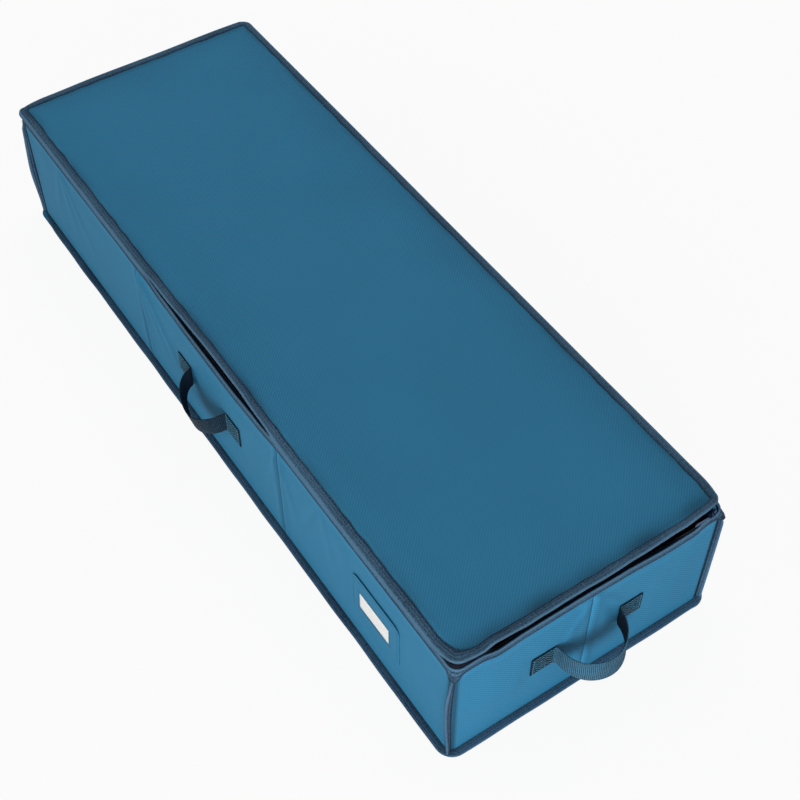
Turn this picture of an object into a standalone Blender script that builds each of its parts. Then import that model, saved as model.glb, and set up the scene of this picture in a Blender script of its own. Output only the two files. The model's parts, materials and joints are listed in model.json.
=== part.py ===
"""Long cloth storage box with a zip lid, for rolls of wrapping paper.

Boards sit between an outer cloth and a lining. The cloths' edges are turned
out and held in folded binding tape round the base, up the corners, round the
rim and round the lid. Cloth joins the lid to the back wall, and a zip joins it
to the other three. X runs along the box, and +X is the end with the zip slider.
The long side with the label faces -Y, and +Z is up. The origin lies on the
floor under the middle of the box.
"""

import math

import bmesh
import bpy
from mathutils import Matrix, Vector

# Overall sizes, in metres, over the wall cloth
LENGTH = 1.026
DEPTH = 0.3556
RIM_HEIGHT = 0.178
CORNER_RADIUS = 0.012
SMALLEST_RADIUS = 0.002

# Layers of a wall, from outside to inside, with the gap between neighbours
CLOTH = 0.0005
BOARD = 0.0020
LINING = 0.0004
FIT = 0.0003

# Folded binding tape: its own thickness, and how far each edge stands out
TAPE = 0.0006
BASE_BINDING_REACH = 0.009
RIM_BINDING_HEIGHT = 0.010
LID_BINDING_WIDTH = 0.011
LID_OVERHANG = 0.002
CORNER_BINDING_REACH = 0.008
CORNER_ALLOWANCE = 0.0055

# Zip: each half is a coil on the edge of a tape
ZIP_TAPE = 0.0006
ZIP_TAPE_SHOWN = 0.0014
ZIP_TAPE_SEWN = 0.006
COIL_HEIGHT = 0.0018
COIL_THICKNESS = 0.0022
COIL_GAP = 0.0016
END_STOP_LENGTH = 0.0020
UPPER_COIL_CLEARANCE = 0.0010

# Zip slider and its pull
SLIDER_LENGTH = 0.011
SLIDER_PLATE = 0.0008
SLIDER_LIP = 0.0008
SLIDER_CORNER = 0.0016
POST_LENGTH = 0.0030
POST_SETBACK = 0.0006
BRIDGE_LENGTH = 0.0084
BRIDGE_HEIGHT = 0.0030
BRIDGE_BAR = 0.0012
BRIDGE_WIDTH = 0.0016
BRIDGE_RADIUS = 0.0018
PULL_THICKNESS = 0.0010
PULL_CLEARANCE = 0.0004
PULL_LENGTH = 0.024
PULL_WIDTH = 0.0058
PULL_EYE_WIDTH = 0.0046

# Webbing handles
WEBBING_WIDTH = 0.032
WEBBING = 0.0016
HANDLE_SPAN = 0.151
HANDLE_GRIP_SPAN = 0.085
HANDLE_BOW = 0.045
HANDLE_DROOP = 0.006
HANDLE_HEIGHT = 0.087

# Label pocket on the front, its window and its card
POCKET_FROM_END = 0.141
POCKET_WIDTH = 0.090
POCKET_FOOT = 0.050
POCKET_HEIGHT = 0.075
POCKET_BORDER = 0.004
POCKET_TOP_RADIUS = 0.010
POCKET_FOOT_RADIUS = 0.003
WINDOW_OFFSET = -0.003
WINDOW_WIDTH = 0.058
WINDOW_FOOT = 0.018
WINDOW_HEIGHT = 0.030
CARD = 0.0004
CARD_HEIGHT = 0.047
CARD_PLAY = 0.0010
FILM = 0.0003
FILM_TOP_MARGIN = 0.006

# Fold seams: where a wall's boards meet, as shares of the wall's width
LONG_SEAM_SHARES = (-1 / 6, 1 / 6)
END_SEAM_SHARES = (0.0,)
SEAM_GAP = 0.004
SEAM_DIP = 0.0010
SEAM_DIP_HALF_WIDTH = 0.0014
LINING_TUCK_HEIGHT = 0.003

# Base and lid sheets
BASE_BOARD = 0.0024
BASE_BOARD_PLAY = 0.0010
BASE_STEP_WIDTH = 0.0010
LID_STEP_WIDTH = 0.004
LID_BOARD_PLAY = 0.0010

# Counts that set how round things are
FOLD_STEPS = 4
CORNER_STEPS = 5
TURN_STEPS = 3
COIL_SIDES = 8
LOOP_STEPS = 20
ROUNDING_STEPS = 4

# Insets from the wall's outer face, worked out from the layers
BOARD_INSET = CLOTH + FIT
LINING_INSET = BOARD_INSET + BOARD + FIT
WALL_THICKNESS = LINING_INSET + LINING
TUCKED_LINING_INSET = CLOTH + FIT
RIM_SLOT = CLOTH + LINING + 3 * FIT
RIM_BINDING_INSET = TUCKED_LINING_INSET + LINING + FIT + TAPE
ZIP_INSET = RIM_BINDING_INSET + FIT
ZIP_MIDDLE_INSET = ZIP_INSET + ZIP_TAPE / 2
BASE_SLOT = CLOTH + 2 * FIT
CORNER_SLOT = 2 * CLOTH + 3 * FIT
LID_SLOT = CLOTH + LINING + 3 * FIT

# Heights, worked out from the layers
BASE_BINDING_HEIGHT = BASE_SLOT + 2 * TAPE
WALL_FOOT = BASE_BINDING_HEIGHT + FIT
RIM_BINDING_FOOT = RIM_HEIGHT - RIM_BINDING_HEIGHT
WALL_TOP = RIM_HEIGHT - TAPE - RIM_SLOT / 2
LOWER_COIL_FOOT = RIM_HEIGHT + ZIP_TAPE_SHOWN
ZIP_MIDDLE = LOWER_COIL_FOOT + COIL_HEIGHT + COIL_GAP / 2
UPPER_COIL_FOOT = ZIP_MIDDLE + COIL_GAP / 2
UPPER_COIL_TOP = UPPER_COIL_FOOT + COIL_HEIGHT
LID_FOOT = UPPER_COIL_TOP + ZIP_TAPE_SHOWN + ZIP_TAPE + FIT
LID_BINDING_HEIGHT = LID_SLOT + 2 * TAPE
LID_LINING_EDGE = LID_FOOT + TAPE + FIT
LID_CLOTH_FOOT = LID_LINING_EDGE + LINING + FIT
HINGE_HEIGHT = (RIM_HEIGHT + LID_FOOT) / 2
HINGE_OUTSET = LID_OVERHANG + 2 * TAPE + 2 * FIT

# Place of the label pocket's middle along the front
POCKET_CENTRE = LENGTH / 2 - POCKET_FROM_END

# Places along the right end, worked out from the corner and the stop
ZIP_END = DEPTH / 2 - CORNER_RADIUS
COIL_END = ZIP_END - END_STOP_LENGTH - FIT
SLIDER_REST = COIL_END - SLIDER_LENGTH / 2
UPPER_COIL_END = SLIDER_REST - SLIDER_LENGTH / 2 - UPPER_COIL_CLEARANCE

TEAL = (0.045, 0.190, 0.330)
NAVY = (0.045, 0.085, 0.150)
BLACK = (0.012, 0.014, 0.018)

SMOOTH = math.radians(40)


def material(name, colour, roughness, metallic=0.0, alpha=1.0):
    """Return the Principled material of this name, made on first use."""
    found = bpy.data.materials.get(name)
    if found:
        return found
    made = bpy.data.materials.new(name)
    made.use_nodes = True
    shader = made.node_tree.nodes["Principled BSDF"]
    shader.inputs["Base Color"].default_value = (*colour, 1.0)
    shader.inputs["Roughness"].default_value = roughness
    shader.inputs["Metallic"].default_value = metallic
    shader.inputs["Alpha"].default_value = alpha
    return made


def outer_cloth():
    return material("outer_cloth", TEAL, 0.75)


def binding_tape():
    return material("binding_tape", NAVY, 0.85)


def webbing():
    return material("webbing", NAVY, 0.8)


def lining_cloth():
    return material("lining_cloth", (0.10, 0.17, 0.24), 0.9)


def grey_board():
    return material("grey_board", (0.42, 0.40, 0.36), 0.9)


def zip_tape():
    return material("zip_tape", NAVY, 0.85)


def zip_coil():
    return material("zip_coil", BLACK, 0.45)


def dark_metal():
    return material("dark_metal", (0.10, 0.11, 0.13), 0.3, metallic=1.0)


def white_card():
    return material("white_card", (0.85, 0.84, 0.81), 0.7)


def clear_film():
    return material("clear_film", (0.9, 0.93, 0.95), 0.1, alpha=0.3)


def add_object(name, edit, finish, smooth_angle=None):
    """Turn a finished bmesh into a named object with outward faces."""
    bmesh.ops.recalc_face_normals(edit, faces=edit.faces)
    mesh = bpy.data.meshes.new(name)
    edit.to_mesh(mesh)
    edit.free()
    mesh.materials.append(finish)
    if smooth_angle is not None:
        mesh.shade_smooth()
        mesh.set_sharp_from_angle(angle=smooth_angle)
    made = bpy.data.objects.new(name, mesh)
    bpy.context.collection.objects.link(made)
    return made


def add_loft(name, rows, finish, closed=False, smooth_angle=None):
    """Skin rows of points, each row a closed outline, into one body."""
    edit = bmesh.new()
    made = [[edit.verts.new(place) for place in row] for row in rows]
    count = len(made[0])
    spans = len(made) if closed else len(made) - 1
    for span in range(spans):
        here, there = made[span], made[(span + 1) % len(made)]
        for side in range(count):
            after = (side + 1) % count
            edit.faces.new((here[side], here[after], there[after], there[side]))
    if not closed:
        edit.faces.new(made[0])
        edit.faces.new(list(reversed(made[-1])))
    return add_object(name, edit, finish, smooth_angle)


def combine(target, tool, operation):
    """Join a tool to the target or cut it away, and hide the tool."""
    step = target.modifiers.new(operation.lower(), "BOOLEAN")
    step.operation = operation
    step.object = tool
    tool.hide_render = True
    tool.display_type = "WIRE"


def put_origin(item, place):
    """Move an object's origin without moving its shape."""
    item.data.transform(Matrix.Translation(-Vector(place)))
    item.location = place


def carry(axis_name, place, items):
    """Parent items to an empty that lies on their joint's axis."""
    empty = bpy.data.objects.new(axis_name, None)
    empty.location = place
    bpy.context.collection.objects.link(empty)
    for item in items:
        item.parent = empty
        item.matrix_parent_inverse = Matrix.Translation(-Vector(place))


def arc(centre, radius, start, end, steps):
    """Points and outward normals along an arc, angles in degrees."""
    stations = []
    for step in range(steps + 1):
        angle = math.radians(start + (end - start) * step / steps)
        normal = (math.cos(angle), math.sin(angle))
        point = (centre[0] + radius * normal[0], centre[1] + radius * normal[1])
        stations.append((point, normal))
    return stations


# The four vertical corners in turn, counter-clockwise seen from above:
# name, side along X, side along Y, angle where its quarter turn starts
CORNERS = (
    ("front_right", 1, -1, -90),
    ("back_right", 1, 1, 0),
    ("back_left", -1, 1, 90),
    ("front_left", -1, -1, 180),
)


def corner_centre(corner, inset_and_radius=CORNER_RADIUS):
    _, side_x, side_y, _ = corner
    return (side_x * (LENGTH / 2 - inset_and_radius), side_y * (DEPTH / 2 - inset_and_radius))


def corner_arc(corner, start_share=0.0, end_share=1.0, steps=CORNER_STEPS):
    """Stations along one corner of the wall's outer face."""
    first = corner[3] + 90 * start_share
    last = corner[3] + 90 * end_share
    return arc(corner_centre(corner), CORNER_RADIUS, first, last, steps)


def outline(inset, height):
    """Rounded outline of the box at an inset from the wall's outer face."""
    radius = max(CORNER_RADIUS - inset, SMALLEST_RADIUS)
    points = []
    for corner in CORNERS:
        centre = corner_centre(corner, inset + radius)
        for point, _ in arc(centre, radius, corner[3], corner[3] + 90, CORNER_STEPS):
            points.append((point[0], point[1], height))
    return points


def ring(name, profile, finish):
    """Carry a closed (inset, height) profile all the way round the box."""
    rows = [outline(inset, height) for inset, height in profile]
    edit = bmesh.new()
    made = [[edit.verts.new(place) for place in row] for row in rows]
    count = len(made[0])
    for index, here in enumerate(made):
        there = made[(index + 1) % len(made)]
        for side in range(count):
            after = (side + 1) % count
            edit.faces.new((here[side], here[after], there[after], there[side]))
    return add_object(name, edit, finish, SMOOTH)


def sheet(name, loops, finish):
    """A rounded sheet through (inset, height) loops, capped at both ends."""
    return add_loft(name, [outline(inset, height) for inset, height in loops], finish)


def sweep(name, path, profile, finish):
    """Carry a closed (inset, height) profile along stations of the wall."""
    rows = []
    for point, normal in path:
        rows.append([
            (point[0] - normal[0] * inset, point[1] - normal[1] * inset, height)
            for inset, height in profile
        ])
    return add_loft(name, rows, finish, smooth_angle=SMOOTH)


def rectangle(inset_from, inset_to, low, high):
    return [(inset_from, low), (inset_to, low), (inset_to, high), (inset_from, high)]


def folded_tape(reach, slot):
    """Outline of a tape folded double: (distance from the fold, offset).

    The tape's two legs lie either side of a slot, and reach is the distance
    from the outside of the fold to the legs' free edges.
    """
    outer = slot / 2 + TAPE
    inner = slot / 2
    points = [(reach, outer)]
    for step in range(FOLD_STEPS + 1):
        angle = math.pi * step / FOLD_STEPS
        points.append((outer - outer * math.sin(angle), outer * math.cos(angle)))
    points += [(reach, -outer), (reach, -inner)]
    for step in range(FOLD_STEPS + 1):
        angle = math.pi * (1 - step / FOLD_STEPS)
        points.append((outer - inner * math.sin(angle), inner * math.cos(angle)))
    points.append((reach, inner))
    return points


class Side:
    """One wall: the corners that it runs between and the seams across it."""

    def __init__(self, name, first, last, seam_shares, width):
        self.name = name
        self.first = CORNERS[first]
        self.last = CORNERS[last]
        self.seams = [share * width for share in seam_shares]
        self.half_flat = width / 2 - CORNER_RADIUS
        start = corner_arc(self.first)[-1]
        end = corner_arc(self.last)[0]
        self.normal = end[1]
        self.along = (-self.normal[1], self.normal[0])
        self.middle = ((start[0][0] + end[0][0]) / 2, (start[0][1] + end[0][1]) / 2)

    def at(self, distance, outset=0.0):
        """The plan point at a distance along the wall from its middle."""
        return (
            self.middle[0] + self.along[0] * distance + self.normal[0] * outset,
            self.middle[1] + self.along[1] * distance + self.normal[1] * outset,
        )

    def prism(self, name, points, outset_from, outset_to, finish):
        """A flat piece on the wall from an outline of (distance, height)."""
        rows = []
        for outset in (outset_from, outset_to):
            rows.append([(*self.at(distance, outset), height) for distance, height in points])
        return add_loft(name, rows, finish)

    def box(self, name, start, end, outset_from, outset_to, low, high, finish):
        """A rectangular piece on the wall."""
        points = [(start, low), (end, low), (end, high), (start, high)]
        return self.prism(name, points, outset_from, outset_to, finish)


RIGHT = Side("right", 0, 1, END_SEAM_SHARES, DEPTH)
BACK = Side("back", 1, 2, LONG_SEAM_SHARES, LENGTH)
LEFT = Side("left", 2, 3, END_SEAM_SHARES, DEPTH)
FRONT = Side("front", 3, 0, LONG_SEAM_SHARES, LENGTH)
SIDES = (RIGHT, BACK, LEFT, FRONT)


def turned_edge(corner, sign):
    """Stations where a wall's cloth turns out along the corner's diagonal.

    sign is +1 for the cloth that comes before the corner and -1 for the one
    after it, going counter-clockwise. The first station is the fold, with a
    mitred normal, and the second is the free edge.
    """
    centre = corner_centre(corner)
    angle = math.radians(corner[3] + 45)
    outward = (math.cos(angle), math.sin(angle))
    aside = (sign * math.sin(angle), -sign * math.cos(angle))
    offset = FIT / 2 + CLOTH
    stations = []
    mitre = (outward[0] + aside[0], outward[1] + aside[1])
    fold = math.sqrt(CORNER_RADIUS ** 2 - offset ** 2)
    for reach, normal in ((fold, mitre), (CORNER_RADIUS + CORNER_ALLOWANCE, aside)):
        x = centre[0] + outward[0] * reach + aside[0] * offset
        y = centre[1] + outward[1] * reach + aside[1] * offset
        stations.append(((x, y), normal))
    return stations


def wall_cloth_stations(side):
    """Stations of one wall's cloth between its free edges, and its seams'."""
    turn_share = 0.5 - 0.5 / (TURN_STEPS + 1)
    stations = list(reversed(turned_edge(side.first, -1)))
    stations += corner_arc(side.first, 1 - turn_share, 1.0, TURN_STEPS)
    seam_columns = []
    for seam in side.seams:
        seam_columns.append(len(stations) + 1)
        for distance in (seam - SEAM_DIP_HALF_WIDTH, seam, seam + SEAM_DIP_HALF_WIDTH):
            stations.append((side.at(distance), side.normal))
    stations += corner_arc(side.last, 0.0, turn_share, TURN_STEPS)
    return stations + turned_edge(side.last, 1), seam_columns


def wall_cloth(side):
    """Outer cloth of one wall, dipped at its seams, with turned-out edges.

    The turned-out edges stop below the rim binding, so the cloth is built
    cell by cell: a face outside, a face inside, and a rim on bare edges.
    """
    stations, seam_columns = wall_cloth_stations(side)
    dip_top = RIM_BINDING_FOOT - 2 * FIT - LINING_TUCK_HEIGHT
    levels = (WALL_FOOT, dip_top, RIM_BINDING_FOOT - 2 * FIT, WALL_TOP)
    last = len(stations) - 1
    edit = bmesh.new()
    made = {}

    def vertex(column, level, inset):
        key = (column, level, inset)
        if key not in made:
            point, normal = stations[column]
            dip = SEAM_DIP if column in seam_columns and level < 2 else 0.0
            x = point[0] - normal[0] * (inset + dip)
            y = point[1] - normal[1] * (inset + dip)
            made[key] = edit.verts.new((x, y, levels[level]))
        return made[key]

    def present(column, level):
        if not 0 <= column < last or not 0 <= level < 3:
            return False
        return level < 2 or 0 < column < last - 1

    for column in range(last):
        for level in range(3):
            if not present(column, level):
                continue
            right, up = column + 1, level + 1
            corners = [(column, level), (right, level), (right, up), (column, up)]
            neighbours = [(column, level - 1), (right, level), (column, up), (column - 1, level)]
            edit.faces.new([vertex(*corner, 0.0) for corner in corners])
            edit.faces.new([vertex(*corner, CLOTH) for corner in reversed(corners)])
            for index, neighbour in enumerate(neighbours):
                if present(*neighbour):
                    continue
                start, end = corners[index], corners[(index + 1) % 4]
                edit.faces.new((
                    vertex(*end, 0.0),
                    vertex(*start, 0.0),
                    vertex(*start, CLOTH),
                    vertex(*end, CLOTH),
                ))
    return add_object(side.name + "_cloth", edit, outer_cloth(), SMOOTH)


def wall_lining(side):
    """Lining of one wall, tucked outwards above the boards into the binding."""
    tuck_top = RIM_BINDING_FOOT - FIT
    tuck_foot = tuck_top - LINING_TUCK_HEIGHT
    profile = [
        (LINING_INSET, WALL_FOOT),
        (LINING_INSET, tuck_foot),
        (TUCKED_LINING_INSET, tuck_top),
        (TUCKED_LINING_INSET, WALL_TOP),
        (TUCKED_LINING_INSET + LINING, WALL_TOP),
        (TUCKED_LINING_INSET + LINING, tuck_top),
        (LINING_INSET + LINING, tuck_foot),
        (LINING_INSET + LINING, WALL_FOOT),
    ]
    # Half a fit on each side of the corner's diagonal, as a share of the turn
    gap_share = FIT / (math.pi * (CORNER_RADIUS - WALL_THICKNESS))
    path = corner_arc(side.first, 0.5 + gap_share, 1.0, TURN_STEPS)
    path += corner_arc(side.last, 0.0, 0.5 - gap_share, TURN_STEPS)
    return sweep(side.name + "_lining", path, profile, lining_cloth())


def wall_boards(side):
    """The stiff boards of one wall, which part at its fold seams."""
    top = RIM_BINDING_FOOT - FIT - LINING_TUCK_HEIGHT - FIT
    edges = [-side.half_flat]
    for seam in side.seams:
        edges += [seam - SEAM_GAP / 2, seam + SEAM_GAP / 2]
    edges.append(side.half_flat)
    for index in range(len(edges) // 2):
        name = f"{side.name}_board_{index + 1}"
        start, end = edges[2 * index], edges[2 * index + 1]
        side.box(name, start, end, -BOARD_INSET, -BOARD_INSET - BOARD, WALL_FOOT, top, grey_board())


def corner_binding(corner):
    """Tape folded over the two cloths' edges that stand out at a corner."""
    centre = corner_centre(corner)
    angle = math.radians(corner[3] + 45)
    outward = (math.cos(angle), math.sin(angle))
    aside = (-outward[1], outward[0])
    tip = CORNER_RADIUS + CORNER_BINDING_REACH
    rows = []
    for height in (WALL_FOOT, RIM_BINDING_FOOT - FIT):
        row = []
        for depth, offset in folded_tape(CORNER_BINDING_REACH - FIT, CORNER_SLOT):
            reach = tip - depth
            x = centre[0] + outward[0] * reach + aside[0] * offset
            y = centre[1] + outward[1] * reach + aside[1] * offset
            row.append((x, y, height))
        rows.append(row)
    return add_loft("corner_binding_" + corner[0], rows, binding_tape(), smooth_angle=SMOOTH)


def rim_binding():
    """Tape folded down over the wall's cloth and lining, all round the rim."""
    middle = RIM_BINDING_INSET - TAPE - RIM_SLOT / 2
    profile = []
    for depth, offset in folded_tape(RIM_BINDING_HEIGHT, RIM_SLOT):
        profile.append((middle + offset, RIM_HEIGHT - depth))
    return ring("rim_binding", profile, binding_tape())


def bottom_binding():
    """Tape folded over the base cloth's edge, flat on the floor all round."""
    middle = BASE_BINDING_HEIGHT / 2
    profile = []
    for depth, offset in folded_tape(BASE_BINDING_REACH + CLOTH, BASE_SLOT):
        profile.append((depth - BASE_BINDING_REACH, middle + offset))
    return ring("bottom_binding", profile, binding_tape())


def stepped_loops(edge_inset, step_from, step_to, edge_low, middle_low, thickness):
    """Loops of a sheet whose middle lies at another height than its edge."""
    return [
        (step_to, middle_low),
        (step_from, edge_low),
        (edge_inset, edge_low),
        (edge_inset, edge_low + thickness),
        (step_from, edge_low + thickness),
        (step_to, middle_low + thickness),
    ]


def base():
    """Base cloth, the stiff board that lies on it, and the board's lining."""
    step_from = WALL_THICKNESS
    step_to = step_from + BASE_STEP_WIDTH
    edge_inset = TAPE + BASE_SLOT / 2 - BASE_BINDING_REACH
    loops = stepped_loops(edge_inset, step_from, step_to, TAPE + FIT, 0.0, CLOTH)
    sheet("base_cloth", loops, outer_cloth())
    inset = step_to + BASE_BOARD_PLAY
    board_low = CLOTH + FIT
    board_high = board_low + BASE_BOARD
    sheet("base_board", [(inset, board_low), (inset, board_high)], grey_board())
    lining_low = board_high + FIT
    lining_high = lining_low + LINING
    sheet("base_lining", [(inset, lining_low), (inset, lining_high)], lining_cloth())


def lid():
    """Lid cloth over a board over a lining, edges held in folded tape."""
    edge_inset = TAPE + LID_SLOT / 2 - LID_OVERHANG
    inner_edge = LID_BINDING_WIDTH - LID_OVERHANG
    step_from = inner_edge + FIT
    step_to = step_from + LID_STEP_WIDTH
    board_high = LID_CLOTH_FOOT - FIT
    board_low = board_high - BOARD
    lining_low = board_low - FIT - LINING
    cloth_loops = [(edge_inset, LID_CLOTH_FOOT), (edge_inset, LID_CLOTH_FOOT + CLOTH)]
    lining_loops = stepped_loops(
        edge_inset, step_from, step_to, LID_LINING_EDGE, lining_low, LINING
    )
    inset = step_to + LID_BOARD_PLAY
    board_loops = [(inset, board_low), (inset, board_high)]
    middle = LID_FOOT + LID_BINDING_HEIGHT / 2
    profile = []
    for depth, offset in folded_tape(LID_BINDING_WIDTH, LID_SLOT):
        profile.append((depth - LID_OVERHANG, middle + offset))
    return [
        sheet("lid_cloth", cloth_loops, outer_cloth()),
        sheet("lid_board", board_loops, grey_board()),
        sheet("lid_lining", lining_loops, lining_cloth()),
        ring("lid_binding", profile, binding_tape()),
    ]


def zip_path(left_end, right_end):
    """Left end, front and right end, between two distances behind the front."""
    stations = [((-LENGTH / 2, left_end), (-1.0, 0.0))]
    stations += corner_arc(CORNERS[3])
    stations += corner_arc(CORNERS[0])
    stations.append(((LENGTH / 2, right_end), (1.0, 0.0)))
    return stations


def coil_profile(foot):
    """Rounded section of one coil on the tape's edge."""
    points = []
    for step in range(COIL_SIDES):
        angle = 2 * math.pi * (step + 0.5) / COIL_SIDES
        flat = math.cos(math.pi / COIL_SIDES)
        inset = ZIP_MIDDLE_INSET + COIL_THICKNESS / 2 * math.cos(angle) / flat
        height = foot + COIL_HEIGHT / 2 + COIL_HEIGHT / 2 * math.sin(angle) / flat
        points.append((inset, height))
    return points


def zip_lower():
    """The half of the zip that is sewn inside the rim, with its end stops."""
    inner = ZIP_INSET + ZIP_TAPE
    tape = rectangle(ZIP_INSET, inner, RIM_HEIGHT - ZIP_TAPE_SEWN, LOWER_COIL_FOOT - FIT)
    sweep("zip_tape_lower", zip_path(ZIP_END, ZIP_END), tape, zip_tape())
    coil = coil_profile(LOWER_COIL_FOOT)
    sweep("zip_coil_lower", zip_path(COIL_END, COIL_END), coil, zip_coil())
    outer = -ZIP_MIDDLE_INSET + COIL_THICKNESS / 2
    for side, start in ((RIGHT, ZIP_END - END_STOP_LENGTH), (LEFT, -ZIP_END)):
        side.box(
            "zip_stop_" + side.name,
            start,
            start + END_STOP_LENGTH,
            outer - COIL_THICKNESS,
            outer,
            LOWER_COIL_FOOT,
            UPPER_COIL_TOP,
            dark_metal(),
        )


def zip_upper():
    """The half of the zip that is sewn flat under the lid binding."""
    inner = ZIP_INSET + ZIP_TAPE
    left_end = COIL_END - UPPER_COIL_CLEARANCE
    path = zip_path(left_end, UPPER_COIL_END)
    turn = LID_FOOT - FIT - ZIP_TAPE
    tape = [
        (ZIP_INSET, UPPER_COIL_TOP + FIT),
        (inner, UPPER_COIL_TOP + FIT),
        (inner, turn),
        (inner + ZIP_TAPE_SEWN, turn),
        (inner + ZIP_TAPE_SEWN, turn + ZIP_TAPE),
        (ZIP_INSET, turn + ZIP_TAPE),
    ]
    return [
        sweep("zip_tape_upper", path, tape, zip_tape()),
        sweep("zip_coil_upper", path, coil_profile(UPPER_COIL_FOOT), zip_coil()),
    ]


def lid_hinge_strip():
    """Cloth strip round the back, from inside the rim up to the lid."""
    low = RIM_HEIGHT - ZIP_TAPE_SEWN
    profile = rectangle(ZIP_INSET, ZIP_INSET + CLOTH, low, LID_FOOT - FIT)
    path = corner_arc(CORNERS[1]) + corner_arc(CORNERS[2])
    # The strip starts just past the zip's end at each back corner
    gap_share = FIT / (CORNER_RADIUS * math.pi / 2)
    path[0] = corner_arc(CORNERS[1], gap_share)[0]
    path[-1] = corner_arc(CORNERS[2], 0.0, 1 - gap_share)[-1]
    return sweep("lid_hinge_strip", path, profile, outer_cloth())


def rounded_rectangle(start, end, low, high, radii):
    """Outline with rounded corners, radii from low start counter-clockwise."""
    centres = (
        (start, low, 1, 1, 180),
        (end, low, -1, 1, 270),
        (end, high, -1, -1, 0),
        (start, high, 1, -1, 90),
    )
    points = []
    for (x, y, side_x, side_y, angle), radius in zip(centres, radii):
        centre = (x + side_x * radius, y + side_y * radius)
        for point, _ in arc(centre, radius, angle, angle + 90, ROUNDING_STEPS):
            points.append(point)
    return points


SLIDER_HALF_HEIGHT = ZIP_MIDDLE - RIM_HEIGHT - FIT
SLIDER_INNER_HALF = COIL_THICKNESS / 2 + FIT
SLIDER_OUTER_HALF = SLIDER_INNER_HALF + SLIDER_PLATE
SLIDER_FACE = SLIDER_OUTER_HALF - ZIP_MIDDLE_INSET
PULL_AXIS_OUTSET = SLIDER_FACE + PULL_CLEARANCE + PULL_THICKNESS / 2


def zip_slider():
    """Two plates with turned-in lips, a dividing post and a pull bridge."""
    start, end = SLIDER_REST - SLIDER_LENGTH / 2, SLIDER_REST + SLIDER_LENGTH / 2
    low, high = ZIP_MIDDLE - SLIDER_HALF_HEIGHT, ZIP_MIDDLE + SLIDER_HALF_HEIGHT
    radii = [SLIDER_CORNER] * 4
    plate = rounded_rectangle(start, end, low, high, radii)
    inner, outer = SLIDER_INNER_HALF, SLIDER_OUTER_HALF
    middle = -ZIP_MIDDLE_INSET
    slider = RIGHT.prism("zip_slider", plate, middle + inner, middle + outer, dark_metal())
    parts = [RIGHT.prism("slider_inner_plate", plate, middle - inner, middle - outer, dark_metal())]
    sink = SLIDER_PLATE / 2
    lip_start, lip_end = start + SLIDER_CORNER, end - SLIDER_CORNER
    slot = ZIP_TAPE / 2 + FIT
    for sign, face in ((1, "outer"), (-1, "inner")):
        for foot, edge in ((low, "lower"), (high - SLIDER_LIP, "upper")):
            parts.append(RIGHT.box(
                f"slider_lip_{face}_{edge}",
                lip_start,
                lip_end,
                middle + sign * slot,
                middle + sign * (inner + sink),
                foot,
                foot + SLIDER_LIP,
                dark_metal(),
            ))
    post_half = COIL_GAP / 2 - FIT
    post_start = start + POST_SETBACK
    parts.append(RIGHT.box(
        "slider_post",
        post_start,
        post_start + POST_LENGTH,
        middle - inner - sink,
        middle + inner + sink,
        ZIP_MIDDLE - post_half,
        ZIP_MIDDLE + post_half,
        dark_metal(),
    ))
    parts.append(pull_bridge())
    for part in parts:
        combine(slider, part, "UNION")
    put_origin(slider, (*RIGHT.at(SLIDER_REST, middle), ZIP_MIDDLE))
    return slider


def pull_bridge():
    """The arch on the slider's outer plate that holds the pull's eye."""
    foot = SLIDER_FACE - SLIDER_PLATE / 2
    top = SLIDER_FACE + BRIDGE_HEIGHT
    half = BRIDGE_LENGTH / 2
    outer = [(-half, foot)]
    for point, _ in arc((-half + BRIDGE_RADIUS, top - BRIDGE_RADIUS), BRIDGE_RADIUS, 180, 90, ROUNDING_STEPS):
        outer.append(point)
    for point, _ in arc((half - BRIDGE_RADIUS, top - BRIDGE_RADIUS), BRIDGE_RADIUS, 90, 0, ROUNDING_STEPS):
        outer.append(point)
    outer.append((half, foot))
    inner_radius = BRIDGE_RADIUS - BRIDGE_BAR
    inner = [(half - BRIDGE_BAR, foot)]
    for point, _ in arc((half - BRIDGE_RADIUS, top - BRIDGE_RADIUS), inner_radius, 0, 90, ROUNDING_STEPS):
        inner.append(point)
    for point, _ in arc((-half + BRIDGE_RADIUS, top - BRIDGE_RADIUS), inner_radius, 90, 180, ROUNDING_STEPS):
        inner.append(point)
    inner.append((-half + BRIDGE_BAR, foot))
    rows = []
    for height in (ZIP_MIDDLE - BRIDGE_WIDTH / 2, ZIP_MIDDLE + BRIDGE_WIDTH / 2):
        rows.append([(*RIGHT.at(SLIDER_REST + along, outset), height) for along, outset in outer + inner])
    return add_loft("slider_bridge", rows, dark_metal())


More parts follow.
